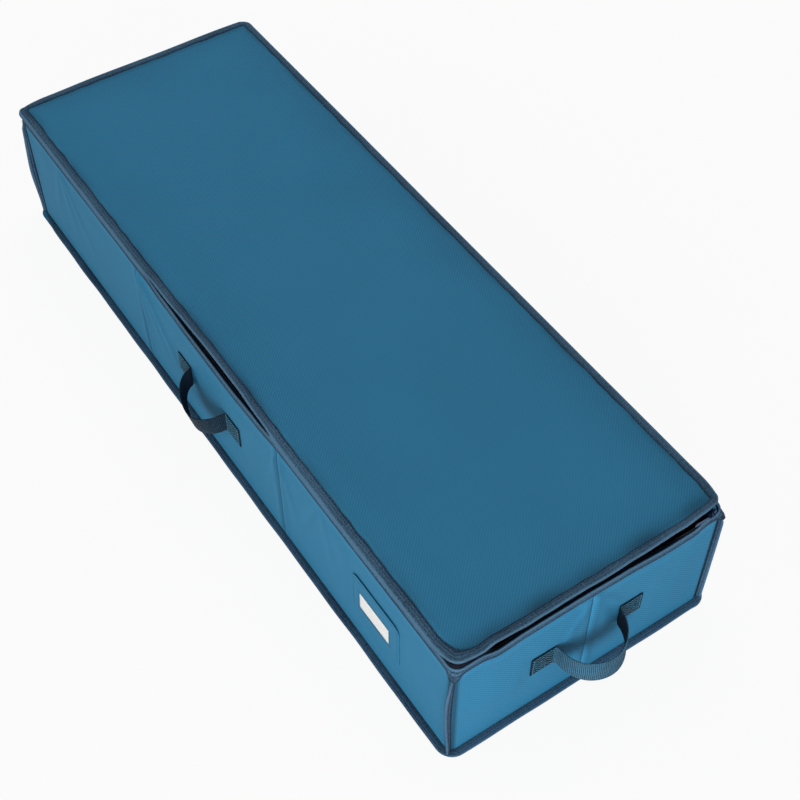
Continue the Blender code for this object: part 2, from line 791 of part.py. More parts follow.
def zip_pull():
    """Pull whose eye passes under the bridge, hanging along the zip."""
    bar = PULL_THICKNESS / 2
    half = BRIDGE_LENGTH / 2
    reach_at_foot = math.hypot(half, PULL_AXIS_OUTSET - SLIDER_FACE)
    reach_at_top = BRIDGE_RADIUS + math.hypot(
        half - BRIDGE_RADIUS, SLIDER_FACE + BRIDGE_HEIGHT - BRIDGE_RADIUS - PULL_AXIS_OUTSET
    )
    window = max(reach_at_foot, reach_at_top) + PULL_CLEARANCE
    neck = window + BRIDGE_BAR
    eye, paddle = PULL_EYE_WIDTH / 2, PULL_WIDTH / 2
    tip_centre = PULL_LENGTH - paddle
    points = [(bar, ZIP_MIDDLE - eye), (bar, ZIP_MIDDLE + eye), (-neck, ZIP_MIDDLE + eye)]
    for point, _ in arc((-tip_centre, ZIP_MIDDLE), paddle, 90, 270, 2 * ROUNDING_STEPS):
        points.append(point)
    points.append((-neck, ZIP_MIDDLE - eye))
    placed = [(SLIDER_REST + along, height) for along, height in points]
    back, front = PULL_AXIS_OUTSET - PULL_THICKNESS / 2, PULL_AXIS_OUTSET + PULL_THICKNESS / 2
    pull = RIGHT.prism("zip_pull", placed, back, front, dark_metal())
    opening = BRIDGE_WIDTH / 2 + PULL_CLEARANCE
    hole = RIGHT.box(
        "pull_eye_cutter",
        SLIDER_REST - window,
        SLIDER_REST - bar,
        back - PULL_THICKNESS,
        front + PULL_THICKNESS,
        ZIP_MIDDLE - opening,
        ZIP_MIDDLE + opening,
        dark_metal(),
    )
    combine(pull, hole, "DIFFERENCE")
    put_origin(pull, (*RIGHT.at(SLIDER_REST, PULL_AXIS_OUTSET), ZIP_MIDDLE))
    return pull


def handle_centreline():
    """Webbing seen from above: sewn tab, bowed grip, sewn tab."""
    rest = FIT + WEBBING / 2
    half_grip = HANDLE_GRIP_SPAN / 2
    points = [(-HANDLE_SPAN / 2, rest)]
    for step in range(LOOP_STEPS + 1):
        angle = math.pi * step / LOOP_STEPS
        points.append((-half_grip * math.cos(angle), rest + HANDLE_BOW * math.sin(angle)))
    points.append((HANDLE_SPAN / 2, rest))
    return points


def offset_line(points, distance):
    """A polyline moved sideways by a distance, with mitred bends."""
    moved = []
    last = len(points) - 1
    for index, point in enumerate(points):
        normals = []
        for start, end in ((index - 1, index), (index, index + 1)):
            if start < 0 or end > last:
                continue
            run = Vector(points[end]) - Vector(points[start])
            normals.append(Vector((-run.y, run.x)).normalized())
        mitre = (normals[0] + normals[-1]).normalized()
        reach = distance / mitre.dot(normals[0])
        moved.append((point[0] + mitre.x * reach, point[1] + mitre.y * reach))
    return moved


def webbing_handle(side):
    """One strap: both ends sewn flat to the wall, the grip bowed outwards."""
    centre = handle_centreline()
    outside = offset_line(centre, WEBBING / 2)
    inside = offset_line(centre, -WEBBING / 2)
    rows = []
    for middle, outer, inner in zip(centre, outside, inside):
        bow_share = max((middle[1] - centre[0][1]) / HANDLE_BOW, 0.0)
        height = HANDLE_HEIGHT - HANDLE_DROOP * bow_share ** 2
        low, high = height - WEBBING_WIDTH / 2, height + WEBBING_WIDTH / 2
        rows.append([
            (*side.at(*outer), low),
            (*side.at(*outer), high),
            (*side.at(*inner), high),
            (*side.at(*inner), low),
        ])
    return add_loft(side.name + "_handle", rows, webbing(), smooth_angle=SMOOTH)


def label():
    """Cloth pocket with a window, clear film behind it, and a card."""
    card_to = FIT + CARD
    film_from = card_to + FIT
    film_to = film_from + FILM
    frame_from = film_to + FIT
    frame_to = frame_from + CLOTH
    start, end = POCKET_CENTRE - POCKET_WIDTH / 2, POCKET_CENTRE + POCKET_WIDTH / 2
    top = POCKET_FOOT + POCKET_HEIGHT
    radii = (POCKET_FOOT_RADIUS, POCKET_FOOT_RADIUS, POCKET_TOP_RADIUS, POCKET_TOP_RADIUS)
    shape = rounded_rectangle(start, end, POCKET_FOOT, top, radii)
    pocket = FRONT.prism("label_pocket", shape, FIT, frame_to, outer_cloth())
    inner_start, inner_end = start + POCKET_BORDER, end - POCKET_BORDER
    inner_foot = POCKET_FOOT + POCKET_BORDER
    above = top + POCKET_BORDER
    cavity = FRONT.box(
        "pocket_cavity", inner_start, inner_end, 0.0, frame_from, inner_foot, above, outer_cloth()
    )
    combine(pocket, cavity, "DIFFERENCE")
    window_centre = POCKET_CENTRE + WINDOW_OFFSET
    window_start, window_end = window_centre - WINDOW_WIDTH / 2, window_centre + WINDOW_WIDTH / 2
    window_foot = POCKET_FOOT + WINDOW_FOOT
    window_top = window_foot + WINDOW_HEIGHT
    window = FRONT.box(
        "pocket_window", window_start, window_end, film_to, frame_to + FIT,
        window_foot, window_top, outer_cloth(),
    )
    combine(pocket, window, "DIFFERENCE")
    play = FIT
    FRONT.box(
        "label_film", inner_start + play, inner_end - play, film_from, film_to,
        inner_foot + play, top - FILM_TOP_MARGIN, clear_film(),
    )
    card_foot = inner_foot + play
    card = FRONT.box(
        "label_card", inner_start + CARD_PLAY, inner_end - CARD_PLAY, FIT, card_to,
        card_foot, card_foot + CARD_HEIGHT, white_card(),
    )
    put_origin(card, (*FRONT.at(POCKET_CENTRE, FIT), card_foot))
    return card


def clear_scene():
    for item in list(bpy.data.objects):
        bpy.data.objects.remove(item, do_unlink=True)


def main():
    clear_scene()
    base()
    for side in SIDES:
        wall_cloth(side)
        wall_boards(side)
        wall_lining(side)
    for corner in CORNERS:
        corner_binding(corner)
    bottom_binding()
    rim_binding()
    for side in (FRONT, RIGHT, LEFT):
        webbing_handle(side)
    label()
    zip_lower()
    lid_hinge_strip()
    lid_pieces = lid() + zip_upper()
    carry("lid_hinge_axis", (0.0, DEPTH / 2 + HINGE_OUTSET, HINGE_HEIGHT), lid_pieces)
    zip_slider()
    zip_pull()


main()
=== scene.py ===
"""Looks of the long cloth storage box with a zip lid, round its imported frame.

The frame gives the box, lid, slider, pull and card their places. Here the soft
pieces get their own cloth: wall panels with fold seams, a lid whose edge sags
and lifts, folded edge tapes, the zip's tapes and teeth, webbing straps, the
label pocket and the stitching. All sizes are in metres.
"""

import json
import logging
import math
from collections.abc import Callable, Sequence
from dataclasses import dataclass, field
from enum import Enum

import bpy
import numpy as np
from mathutils import Matrix, Vector

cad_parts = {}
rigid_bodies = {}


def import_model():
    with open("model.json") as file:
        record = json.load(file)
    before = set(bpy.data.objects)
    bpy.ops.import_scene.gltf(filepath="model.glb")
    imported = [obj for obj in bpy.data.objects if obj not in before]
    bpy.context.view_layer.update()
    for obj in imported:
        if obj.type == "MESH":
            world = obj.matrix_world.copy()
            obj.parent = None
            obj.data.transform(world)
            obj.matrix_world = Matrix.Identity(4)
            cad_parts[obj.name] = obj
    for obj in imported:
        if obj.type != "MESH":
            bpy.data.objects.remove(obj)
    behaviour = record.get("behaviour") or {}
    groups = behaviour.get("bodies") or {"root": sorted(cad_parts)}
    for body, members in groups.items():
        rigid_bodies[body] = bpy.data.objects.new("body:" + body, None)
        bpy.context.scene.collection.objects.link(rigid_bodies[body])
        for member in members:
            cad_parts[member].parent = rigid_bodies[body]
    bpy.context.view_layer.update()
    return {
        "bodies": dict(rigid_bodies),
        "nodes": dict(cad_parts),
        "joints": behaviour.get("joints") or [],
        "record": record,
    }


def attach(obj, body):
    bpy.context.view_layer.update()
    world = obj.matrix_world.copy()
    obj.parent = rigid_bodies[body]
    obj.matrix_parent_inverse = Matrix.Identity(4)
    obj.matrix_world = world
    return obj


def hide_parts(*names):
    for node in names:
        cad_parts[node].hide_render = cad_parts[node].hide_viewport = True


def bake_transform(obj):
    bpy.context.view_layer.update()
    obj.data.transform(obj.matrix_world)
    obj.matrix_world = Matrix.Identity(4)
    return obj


LOG = logging.getLogger("storage_box")
UV_NAME = "fabric"
MM = 0.001


# Helpers for numbers


def linear(code: str) -> tuple[float, float, float]:
    """Turn a display colour such as 3a7ea3 into linear values."""
    values = [int(code[start : start + 2], 16) / 255 for start in (0, 2, 4)]
    red, green, blue = (v / 12.92 if v <= 0.04045 else ((v + 0.055) / 1.055) ** 2.4 for v in values)
    return red, green, blue


def ease(share: np.ndarray | float) -> np.ndarray:
    """Go smoothly from 0 to 1 as share does, level at both ends."""
    held = np.clip(share, 0.0, 1.0)
    return held * held * (3 - 2 * held)


def waves(table: Sequence[tuple[float, float]], where: np.ndarray) -> np.ndarray:
    """Read a table of (place, height) with level tops and hollows.

    Args:
        table: places in rising order, each with a height in millimetres.
        where: the places to read at, in metres.

    Returns:
        The heights in metres.
    """
    places, heights = np.array(table).T
    heights = heights * MM
    index = np.clip(np.searchsorted(places, where) - 1, 0, len(places) - 2)
    share = (where - places[index]) / (places[index + 1] - places[index])
    return heights[index] + (heights[index + 1] - heights[index]) * ease(share)


def ripple(seed: int, where: np.ndarray, length: float) -> np.ndarray:
    """A smooth, irregular wave between about -1 and 1 along a line."""
    rng = np.random.default_rng(seed)
    total = np.zeros_like(where)
    for _ in range(4):
        period = length * rng.uniform(0.6, 1.7)
        total += np.sin(where * 2 * math.pi / period + rng.uniform(0, 2 * math.pi))
    return total / 2.6


def hump(where: np.ndarray, middle: np.ndarray | float, width: np.ndarray | float) -> np.ndarray:
    """A smooth hump of height 1 at the middle that fades within two widths."""
    return np.exp(-(((where - middle) / width) ** 2))


def band(where: np.ndarray, start: float, end: float, rise: float, fall: float) -> np.ndarray:
    """1 between two places, and fading to 0 at them over a rise and a fall."""
    return ease((where - start) / rise) * ease((end - where) / fall)


def closed(line: np.ndarray) -> np.ndarray:
    """The line with its first point again at its end."""
    return np.concatenate([line, line[:1]])


def run_length(points: np.ndarray) -> np.ndarray:
    """Distance along a line of points, from 0 at the first."""
    return np.concatenate([[0.0], np.cumsum(np.linalg.norm(np.diff(points, axis=0), axis=1))])


def girth(outline: Sequence[tuple[float, float]]) -> np.ndarray:
    """Distances round a closed outline, with the last back at its start."""
    return run_length(closed(np.array(outline)))


def level(ways: np.ndarray) -> np.ndarray:
    """Directions in plan as directions in space."""
    return np.concatenate([ways, np.zeros_like(ways[..., :1])], axis=-1)


def turned(way: np.ndarray, angle: float) -> np.ndarray:
    """Turn a plan direction by an angle."""
    cosine, sine = math.cos(angle), math.sin(angle)
    return np.array([way[0] * cosine - way[1] * sine, way[0] * sine + way[1] * cosine])


# Sizes that the frame's solids have too


@dataclass(frozen=True)
class BoxSizes:
    """Sizes of the box over its wall cloth, and where its layers lie."""

    length: float = 1.026
    depth: float = 0.3556
    corner: float = 0.012
    least_corner: float = 0.002
    wall_foot: float = 0.0026
    wall_top: float = 0.1765
    rim: float = 0.178
    rim_tape_foot: float = 0.168
    lid_foot: float = 0.1869
    lid_cloth_top: float = 0.1890
    lid_overhang: float = 0.002
    lid_tape_width: float = 0.011
    zip_inset: float = 0.0024
    coil_inset: float = 0.0027
    lower_coil_foot: float = 0.1794
    upper_coil_foot: float = 0.1828
    coil_height: float = 0.0018
    zip_end: float = 0.1658
    upper_zip_right_end: float = 0.1515


SIZES = BoxSizes()
HALF_X, HALF_Y = SIZES.length / 2, SIZES.depth / 2


def from_edge(x: np.ndarray, y: np.ndarray) -> np.ndarray:
    """How far places lie inside the nearest wall's face."""
    return np.minimum(HALF_X - np.abs(x), HALF_Y - np.abs(y))


def near_corner(x: np.ndarray, y: np.ndarray, end: int, side: int, reach: float) -> np.ndarray:
    """1 at one corner of the box in plan, fading all round it."""
    return np.exp(-((HALF_X - end * x) ** 2 + (HALF_Y - side * y) ** 2) / reach**2)


class Wall(Enum):
    """The four walls: name, outward direction, along direction, half width."""

    RIGHT = ("right", (1.0, 0.0), (0.0, 1.0), HALF_Y)
    BACK = ("back", (0.0, 1.0), (-1.0, 0.0), HALF_X)
    LEFT = ("left", (-1.0, 0.0), (0.0, -1.0), HALF_Y)
    FRONT = ("front", (0.0, -1.0), (1.0, 0.0), HALF_X)

    @property
    def label(self) -> str:
        """The wall's name in the frame."""
        return self.value[0]

    @property
    def normal(self) -> np.ndarray:
        """Outward direction in plan."""
        return np.array(self.value[1])

    @property
    def along(self) -> np.ndarray:
        """Direction along the wall, counter-clockwise seen from above."""
        return np.array(self.value[2])

    @property
    def half(self) -> float:
        """Half the wall's width."""
        return self.value[3]

    @property
    def offset(self) -> float:
        """Distance of the wall's face from the middle of the box."""
        return HALF_X if self.normal[0] else HALF_Y

    @property
    def seams(self) -> tuple[float, ...]:
        """Where the wall's fold seams lie: two on a long side, one on an end."""
        return (0.0,) if self.normal[0] else (-SIZES.length / 6, SIZES.length / 6)

    def place(self, along: np.ndarray, out: np.ndarray, height: np.ndarray) -> np.ndarray:
        """Points on the wall.

        Args:
            along: distances from the wall's middle.
            out: distances out of the wall's face.
            height: heights above the floor.

        Returns:
            An array of points with the inputs' shape and three values each.
        """
        along, out, height = np.broadcast_arrays(along, out, height)
        x = self.along[0] * along + self.normal[0] * (self.offset + out)
        y = self.along[1] * along + self.normal[1] * (self.offset + out)
        return np.stack([x, y, height], axis=-1)


class Ring:
    """Stations round the box in plan that keep their order at any inset."""

    CORNERS = ((1, -1, -90), (1, 1, 0), (-1, 1, 90), (-1, -1, 180))

    def __init__(self, corner_steps: int = 8, pitch: float = 0.006) -> None:
        """Lay out the stations.

        Args:
            corner_steps: steps in each quarter turn.
            pitch: distance between stations on the straights.
        """
        rows = []
        for corner, wall in ((1, Wall.BACK), (2, Wall.LEFT), (3, Wall.FRONT), (0, Wall.RIGHT)):
            for step in range(corner_steps + 1):
                turn = math.radians(self.CORNERS[corner][2] + 90 * step / corner_steps)
                rows.append((corner, corner, turn, 0.0))
            count = max(2, round(2 * (wall.half - SIZES.corner) / pitch))
            rows += [(corner, (corner + 1) % 4, turn, step / count) for step in range(1, count)]
        self.first, self.second, self.turn, self.share = (np.array(values) for values in zip(*rows))
        base = self.plan(0.0)
        steps = np.linalg.norm(np.roll(base, -1, axis=0) - base, axis=1)
        self.distance = np.concatenate([[0.0], np.cumsum(steps)])
        self.x, self.y = base.T

    def __len__(self) -> int:
        """How many stations there are."""
        return len(self.turn)

    def plan(self, inset: np.ndarray | float) -> np.ndarray:
        """Plan points of all stations at one inset, or at one for each."""
        inset = np.broadcast_to(inset, len(self))[:, None]
        radius = np.maximum(SIZES.corner - inset, SIZES.least_corner)
        start, end = (
            np.array(self.CORNERS)[corner, :2] * (np.array([HALF_X, HALF_Y]) - inset - radius)
            + radius * self.normals()
            for corner in (self.first, self.second)
        )
        return start + (end - start) * self.share[:, None]

    def normals(self) -> np.ndarray:
        """Outward directions of all stations."""
        return np.column_stack([np.cos(self.turn), np.sin(self.turn)])

    def corner_share(self) -> np.ndarray:
        """1 at the middle of each corner, less to its ends, 0 on the straights."""
        off = np.abs(np.degrees(self.turn) - np.array(self.CORNERS)[self.first, 2] - 45)
        return np.where(self.share > 0, 0.0, ease(1 - off / 62))

    def wave(self, seed: int, length: float) -> np.ndarray:
        """A ripple along the stations."""
        return ripple(seed, self.distance[:-1], length)

    def loft(self, columns: Sequence[tuple[np.ndarray | float, np.ndarray]]) -> np.ndarray:
        """Carry an outline round the stations.

        Args:
            columns: insets and heights of each outline point at the stations.

        Returns:
            Points as an array of stations by outline points by three.
        """
        return np.stack([np.column_stack([self.plan(inset), height]) for inset, height in columns], axis=1)


class Softness:
    """How the empty cloth box sags: the lid's edge, the rim and the panels.

    LID and RIM say how far both hang along the front, right, back and left
    side, as (place in metres, millimetres down). A band is (start, end, rise,
    fall) along x, y or the height. SEAM is (millimetres out, place, width).
    """

    LID = (
        ((-0.52, 4.8), (-0.30, 5.5), (-0.15, 5.4), (-0.115, 1.2), (-0.085, 1.2), (-0.04, -2.8),
         (0.015, -6.4), (0.085, -6.2), (0.13, -0.8), (0.18, 5.2), (0.33, 5.5), (0.47, 4.6), (0.52, 1.2)),
        ((-0.18, 0.9), (-0.165, 0.0), (-0.145, 0.0), (-0.128, -5.0), (-0.080, -1.8), (-0.035, -3.4),
         (0.015, -2.0), (0.06, -4.0), (0.105, -6.2), (0.148, -10.8), (0.166, -10.0), (0.18, -5.8)),
        ((-0.52, 2.0), (-0.25, 1.2), (0.0, 1.6), (0.25, 1.0), (0.44, 0.2), (0.52, -1.6)),
        ((-0.18, 3.6), (-0.14, 0.2), (-0.06, -1.4), (0.04, -0.8), (0.12, -1.6), (0.18, -0.6)),
    )
    RIM = (
        ((-0.52, 0.0), (-0.15, 0.3), (-0.10, 5.0), (-0.03, 8.4), (0.06, 9.6), (0.12, 6.2),
         (0.18, 0.3), (0.52, 0.0)),
        ((-0.18, 0.0), (-0.144, 0.1), (-0.121, 7.4), (-0.085, 4.2), (-0.02, 3.6), (0.04, 5.0), (0.100, 9.4),
         (0.136, 8.6), (0.154, 0.8), (0.18, 0.0)),
        ((-0.52, 0.3), (0.0, 0.8), (0.52, 0.0)),
        ((-0.18, 0.0), (0.0, 1.0), (0.18, 0.3)),
    )
    WORN_CORNERS = ((1, 1, 0.0070, 0.022), (1, -1, 0.0042, 0.022), (-1, -1, -0.0034, 0.011))
    TURN = 0.002
    FLANGE = 0.012
    RIM_REACH = 0.02
    SAG_FOOT = 0.13
    SAG_RISE = 0.04
    FIN_LEAN = (-66.0, 9.0, -8.0, 14.0)
    FIN_MIDDLE = 0.085
    END_WAVES = (-0.144, 0.15, 0.02, 0.03)
    FRONT_GAPE = (-0.138, 0.172, 0.025, 0.025)
    END_GAPE = (-0.138, 0.128, 0.014, 0.016)
    PANEL_BAND = (0.006, 0.164, 0.03, 0.03)
    SEAM_BAND = (0.003, 0.1655, 0.01, 0.004)
    FAN_BAND = (0.0, 0.135, 0.02, 0.09)
    SEAM = ((-1.1, 0.0, 0.0016), (1.5, 0.0065, 0.0050), (1.1, -0.0075, 0.0055))
    LABEL_AREA = (0.372, 0.104, 0.049, 0.0585)
    HANDLE_AREAS = ((-0.059, 0.087, 0.018, 0.018), (0.059, 0.087, 0.018, 0.018))
    FANS = {
        Wall.FRONT: (
            (-SIZES.length / 6, (0.16, 0.46, 0.86), 2.6), (SIZES.length / 6, (-0.26, 0.34), 1.5),
            (-0.40, (-0.30, 0.20, 0.75), 1.3), (0.26, (-0.45, 0.25), 1.0),
        ),
        Wall.RIGHT: ((0.004, (-0.5, 0.28, 0.7), 0.9),),
    }

    @staticmethod
    def _by_side(tables: Sequence, x: np.ndarray, y: np.ndarray, reach: float) -> np.ndarray:
        """Blend the four sides' tables by how near each side is."""
        total, weight = np.zeros_like(x), np.zeros_like(x)
        distances = (HALF_Y + y, HALF_X - x, HALF_Y - y, HALF_X + x)
        for table, distance, along in zip(tables, distances, (x, y, x, y)):
            share = ease(1 - (distance - Softness.TURN) / reach)
            total += share * waves(table, along)
            weight += share
        return total / np.maximum(weight, 1.0)

    def lid_drop(self, x: np.ndarray, y: np.ndarray) -> np.ndarray:
        """How far the lid's flange hangs below the flat lid."""
        drop = self._by_side(self.LID, x, y, self.FLANGE)
        near = ease((x - 0.47) / 0.04) * band(y, *self.END_WAVES)
        edge = ease(1 - (HALF_X - x - self.TURN) / self.FLANGE)
        front = ease(1 - (HALF_Y + y - self.TURN) / self.FLANGE)
        drop = drop + 0.8 * MM * near * edge * ripple(11, y, 0.045)
        drop = drop + 0.22 * MM * front * ripple(12, x, 0.07)
        return drop + 1.2 * np.maximum(drop - 2.0 * MM, 0.0) * ease((0.0018 - from_edge(x, y)) / 0.0038)

    @staticmethod
    def lid_plan(plan: np.ndarray, share: float = 1.0) -> np.ndarray:
        """Points of the lid, with two worn corners drawn in and a third one sharp."""
        moved = plan.copy()
        for end, side, amount, reach in Softness.WORN_CORNERS:
            pull = share * amount * near_corner(plan[..., 0], plan[..., 1], end, side, reach) / math.sqrt(2)
            moved[..., 0] -= end * pull
            moved[..., 1] -= side * pull
        return moved

    def rim_dip(self, x: np.ndarray, y: np.ndarray) -> np.ndarray:
        """How far the rim hangs below its straight height."""
        return self._by_side(self.RIM, x, y, self.RIM_REACH)

    def rim_share(self, height: np.ndarray | float) -> np.ndarray:
        """How much of the rim's dip the walls share at a height."""
        return ease((height - self.SAG_FOOT) / self.SAG_RISE)

    @staticmethod
    def lid_swell(x: np.ndarray, y: np.ndarray) -> np.ndarray:
        """Low, wide waves in the lid's cloth over its board."""
        inside = ease((from_edge(x, y) - 0.010) / 0.030)
        across = ripple(21, x + 0.35 * y, 0.42) * ripple(22, y - 0.2 * x, 0.30)
        return inside * (2.1 + 1.0 * across) * MM

    @staticmethod
    def lid_shade(x: np.ndarray, y: np.ndarray) -> np.ndarray:
        """Painted shade on the lid's cloth: in the hollow beside its edge tape at the right end, beside the
        tape on its other sides, in soft patches and towards all its edges.
        """
        sides = np.minimum(HALF_Y - np.abs(y), HALF_X + x)
        hollow = 0.42 * hump(HALF_X - x, 0.009, 0.013) * (0.8 + 0.35 * ripple(23, y, 0.09))
        side = 0.22 * hump(sides, 0.009, 0.006) * (0.8 + 0.4 * ripple(24, x, 0.12))
        cloud = 0.035 * (1 + ripple(25, x + 0.5 * y, 0.3) * ripple(26, y - 0.3 * x, 0.2))
        return np.maximum(hollow, side) + cloud + 0.07 * ease(1 - from_edge(x, y) / 0.09)

    @staticmethod
    def gape(x: np.ndarray, y: np.ndarray) -> np.ndarray:
        """1 where the open zip's halves fold inwards, 0 where they stand."""
        front = band(x, *Softness.FRONT_GAPE) * (y < -0.16)
        near = band(y, *Softness.END_GAPE) * (x > 0.5)
        return np.maximum(front, near)

    def fin_middle(self, height: np.ndarray | float) -> np.ndarray:
        """1 halfway up a corner's standing edge, 0 at its foot and its top."""
        return ease(1 - np.abs(height - self.FIN_MIDDLE) / self.FIN_MIDDLE)

    def fin_lean(self, index: int, height: float) -> float:
        """How far a corner's standing edge leans over, in radians."""
        return math.radians(self.FIN_LEAN[index]) * (0.25 + 0.75 * self.fin_middle(height))

    @staticmethod
    def fin_taper(height: float) -> float:
        """How much of a corner's standing edge is left under the rim tape."""
        return float(1 - 0.42 * ease((height - 0.150) / 0.017))

    def panel(self, wall: Wall, along: np.ndarray, height: np.ndarray) -> np.ndarray:
        """How far a wall's cloth stands out of its flat face."""
        ends = ease((wall.half - SIZES.corner - np.abs(along)) / 0.045)
        rise = band(height, *self.PANEL_BAND)
        seed = 31 + 2 * list(Wall).index(wall)
        swell = 0.8 + 0.7 * ripple(seed, along, 0.21) * ripple(seed + 1, height + 0.3 * along, 0.16)
        out = ends * rise * swell * MM
        for seam in wall.seams:
            out += self._seam(along - seam, height) * (1.0 if len(wall.seams) > 1 else 0.6)
        for place, slopes, most in self.FANS.get(wall, ()):
            out += self._fan(along - place, height, slopes, most)
        return out * self._flat_places(wall, along, height)

    @staticmethod
    def _seam(along: np.ndarray, height: np.ndarray) -> np.ndarray:
        """A fold seam: a narrow dip with a soft rise on either side."""
        out = sum(amount * hump(along, middle, width) for amount, middle, width in Softness.SEAM)
        return out * band(height, *Softness.SEAM_BAND) * MM

    @staticmethod
    def _fan(along: np.ndarray, height: np.ndarray, slopes: Sequence[float], rise: float) -> np.ndarray:
        """Soft ridges that fan out downwards from the top of a seam."""
        down = np.maximum(SIZES.rim_tape_foot - height, 0.0)
        total = sum(hump(along, slope * down, 0.0048 + 0.070 * down) for slope in slopes)
        return rise * MM * total * band(down, *Softness.FAN_BAND)

    def _flat_places(self, wall: Wall, along: np.ndarray, height: np.ndarray) -> np.ndarray:
        """0 under what is sewn flat to the wall, 1 away from it."""
        areas = [] if wall is Wall.BACK else list(self.HANDLE_AREAS)
        if wall is Wall.FRONT:
            areas.append(self.LABEL_AREA)
        keep = np.ones_like(along + height)
        for middle, up, half_width, half_height in areas:
            off = np.maximum(np.abs(along - middle) - half_width, np.abs(height - up) - half_height)
            keep = np.minimum(keep, ease(off / 0.02))
        return keep


SOFT = Softness()


# Helpers for meshes


@dataclass
class Skin:
    """A grid of points, closed or open each way, with its cloth distances."""

    points: np.ndarray
    across: np.ndarray
    along: np.ndarray
    closed_rows: bool = False
    closed_columns: bool = False

    def build(self, name: str, material: bpy.types.Material) -> bpy.types.Object:
        """Make the skin's object, with caps on open tubes.

        Args:
            name: the piece's name.
            material: its finish.

        Returns:
            The new object, with its cloth distances as a UV map.
        """
        rows, columns = self.points.shape[:2]
        faces, places = [], []

        def add(cells: Sequence[tuple[int, int]]) -> None:
            """Add one face from (row, column) corners."""
            faces.append(tuple(r % rows * columns + c % columns for r, c in cells))
            places.extend((self.across[r], self.along[c]) for r, c in cells)

        for row in range(rows if self.closed_rows else rows - 1):
            for column in range(columns if self.closed_columns else columns - 1):
                add([(row, column), (row, column + 1), (row + 1, column + 1), (row + 1, column)])
        if self.closed_columns and not self.closed_rows:
            add([(0, column) for column in reversed(range(columns))])
            add([(rows - 1, column) for column in range(columns)])
        return make_object(name, self.points.reshape(-1, 3), faces, material, places)


def set_shade(piece: bpy.types.Object, shade: np.ndarray) -> None:
    """Store each point's painted shade; below 0 it is a painted highlight."""
    layer = piece.data.attributes.new("shade", "FLOAT", "POINT")
    layer.data.foreach_set("value", np.clip(shade, -1.0, 1.0).astype(np.float32).ravel())


def tape_shade(shape: Sequence[tuple[float, float]], stations: int, deep: float, hem: float) -> np.ndarray:
    """Painted shade of a folded tape: painted shadow at its free edges and in two stitch grooves, a painted
    highlight beside its fold.

    Args:
        shape: the tape's outline, as (distance from the fold, offset).
        stations: how many outlines follow each other along it.
        deep: how dark the painted shadow at the free edges is.
        hem: how bright the painted highlight beside the fold is.

    Returns:
        A value for every point of the tape.
    """
    depth = np.array([point[0] for point in shape])
    reach = depth.max()
    # Painted shadow at the free edges, painted highlight by the fold, painted shade in the stitch grooves.
    edge = deep * ease((depth - 0.55 * reach) / (0.45 * reach))
    pale = -hem * hump(depth, 0.0011, 0.0010)
    groove = 0.22 * hump(depth, 0.0034, 0.0007) + 0.18 * hump(depth, 0.0066, 0.0007)
    return np.tile(edge + pale + groove, stations)


def place_object(name: str, data: bpy.types.ID) -> bpy.types.Object:
    """Put a new object with its mesh, lamp or camera in the scene."""
    made = bpy.data.objects.new(name, data)
    bpy.context.scene.collection.objects.link(made)
    return made


def make_object(
    name: str,
    points: np.ndarray,
    faces: Sequence[tuple[int, ...]],
    material: bpy.types.Material,
    places: Sequence[tuple[float, float]],
) -> bpy.types.Object:
    """Make a smooth mesh object with its faces turned outwards.

    Args:
        name: the piece's name.
        points: its vertices.
        faces: its faces, as vertex numbers.
        material: its finish.
        places: cloth distances of each face corner, in metres.

    Returns:
        The new object.
    """
    mesh = bpy.data.meshes.new(name)
    mesh.from_pydata([tuple(p) for p in points], [], faces)
    layer = mesh.uv_layers.new(name=UV_NAME)
    layer.data.foreach_set("uv", np.array(places, dtype=np.float32).ravel())
    mesh.validate()
    mesh.update()
    if signed_volume(mesh) < 0:
        mesh.flip_normals()
    mesh.shade_smooth()
    mesh.set_sharp_from_angle(angle=math.radians(50))
    mesh.materials.append(material)
    return place_object(name, mesh)


def signed_volume(mesh: bpy.types.Mesh) -> float:
    """Volume inside a closed mesh, below 0 where it is inside out."""
    mesh.calc_loop_triangles()
    points = np.empty(len(mesh.vertices) * 3)
    mesh.vertices.foreach_get("co", points)
    points = points.reshape(-1, 3)
    corners = np.empty(len(mesh.loop_triangles) * 3, dtype=np.int32)
    mesh.loop_triangles.foreach_get("vertices", corners)
    a, b, c = (points[corners.reshape(-1, 3)[:, side]] for side in range(3))
    return float(np.einsum("ij,ij->i", a, np.cross(b, c)).sum() / 6)


def thick_sheet(
    name: str,
    outer: np.ndarray,
    inward: np.ndarray,
    thickness: float,
    across: np.ndarray,
    along: np.ndarray,
    material: bpy.types.Material,
) -> bpy.types.Object:
    """Make a closed sheet from its outer face.

    Args:
        name: the piece's name.
        outer: grid of points on the outer face.
        inward: directions into the cloth, for each point or for all.
        thickness: the cloth's thickness.
        across: cloth distance of each row.
        along: cloth distance of each column.
        material: its finish.

    Returns:
        The new object.
    """
    rows, columns = outer.shape[:2]
    points = np.stack([outer, outer + inward * thickness]).reshape(-1, 3)
    shift = rows * columns
    faces, places = [], []

    def add(cells: Sequence[tuple[int, int, int]]) -> None:
        """Add one face from (row, column, layer) corners."""
        faces.append(tuple(r * columns + c + shift * layer for r, c, layer in cells))
        places.extend((across[r], along[c]) for r, c, _ in cells)

    for row in range(rows - 1):
        for column in range(columns - 1):
            cells = [(row, column), (row, column + 1), (row + 1, column + 1), (row + 1, column)]
            add([(r, c, 0) for r, c in cells])
            add([(r, c, 1) for r, c in reversed(cells)])
    for row in range(rows - 1):
        for column, turn in ((0, 1), (columns - 1, -1)):
            edge = [(row, column, 0), (row + 1, column, 0), (row + 1, column, 1), (row, column, 1)]
            add(edge[::turn])
    for column in range(columns - 1):
        for row, turn in ((0, -1), (rows - 1, 1)):
            edge = [(row, column, 0), (row, column + 1, 0), (row, column + 1, 1), (row, column, 1)]
            add(edge[::turn])
    return make_object(name, points, faces, material, places)


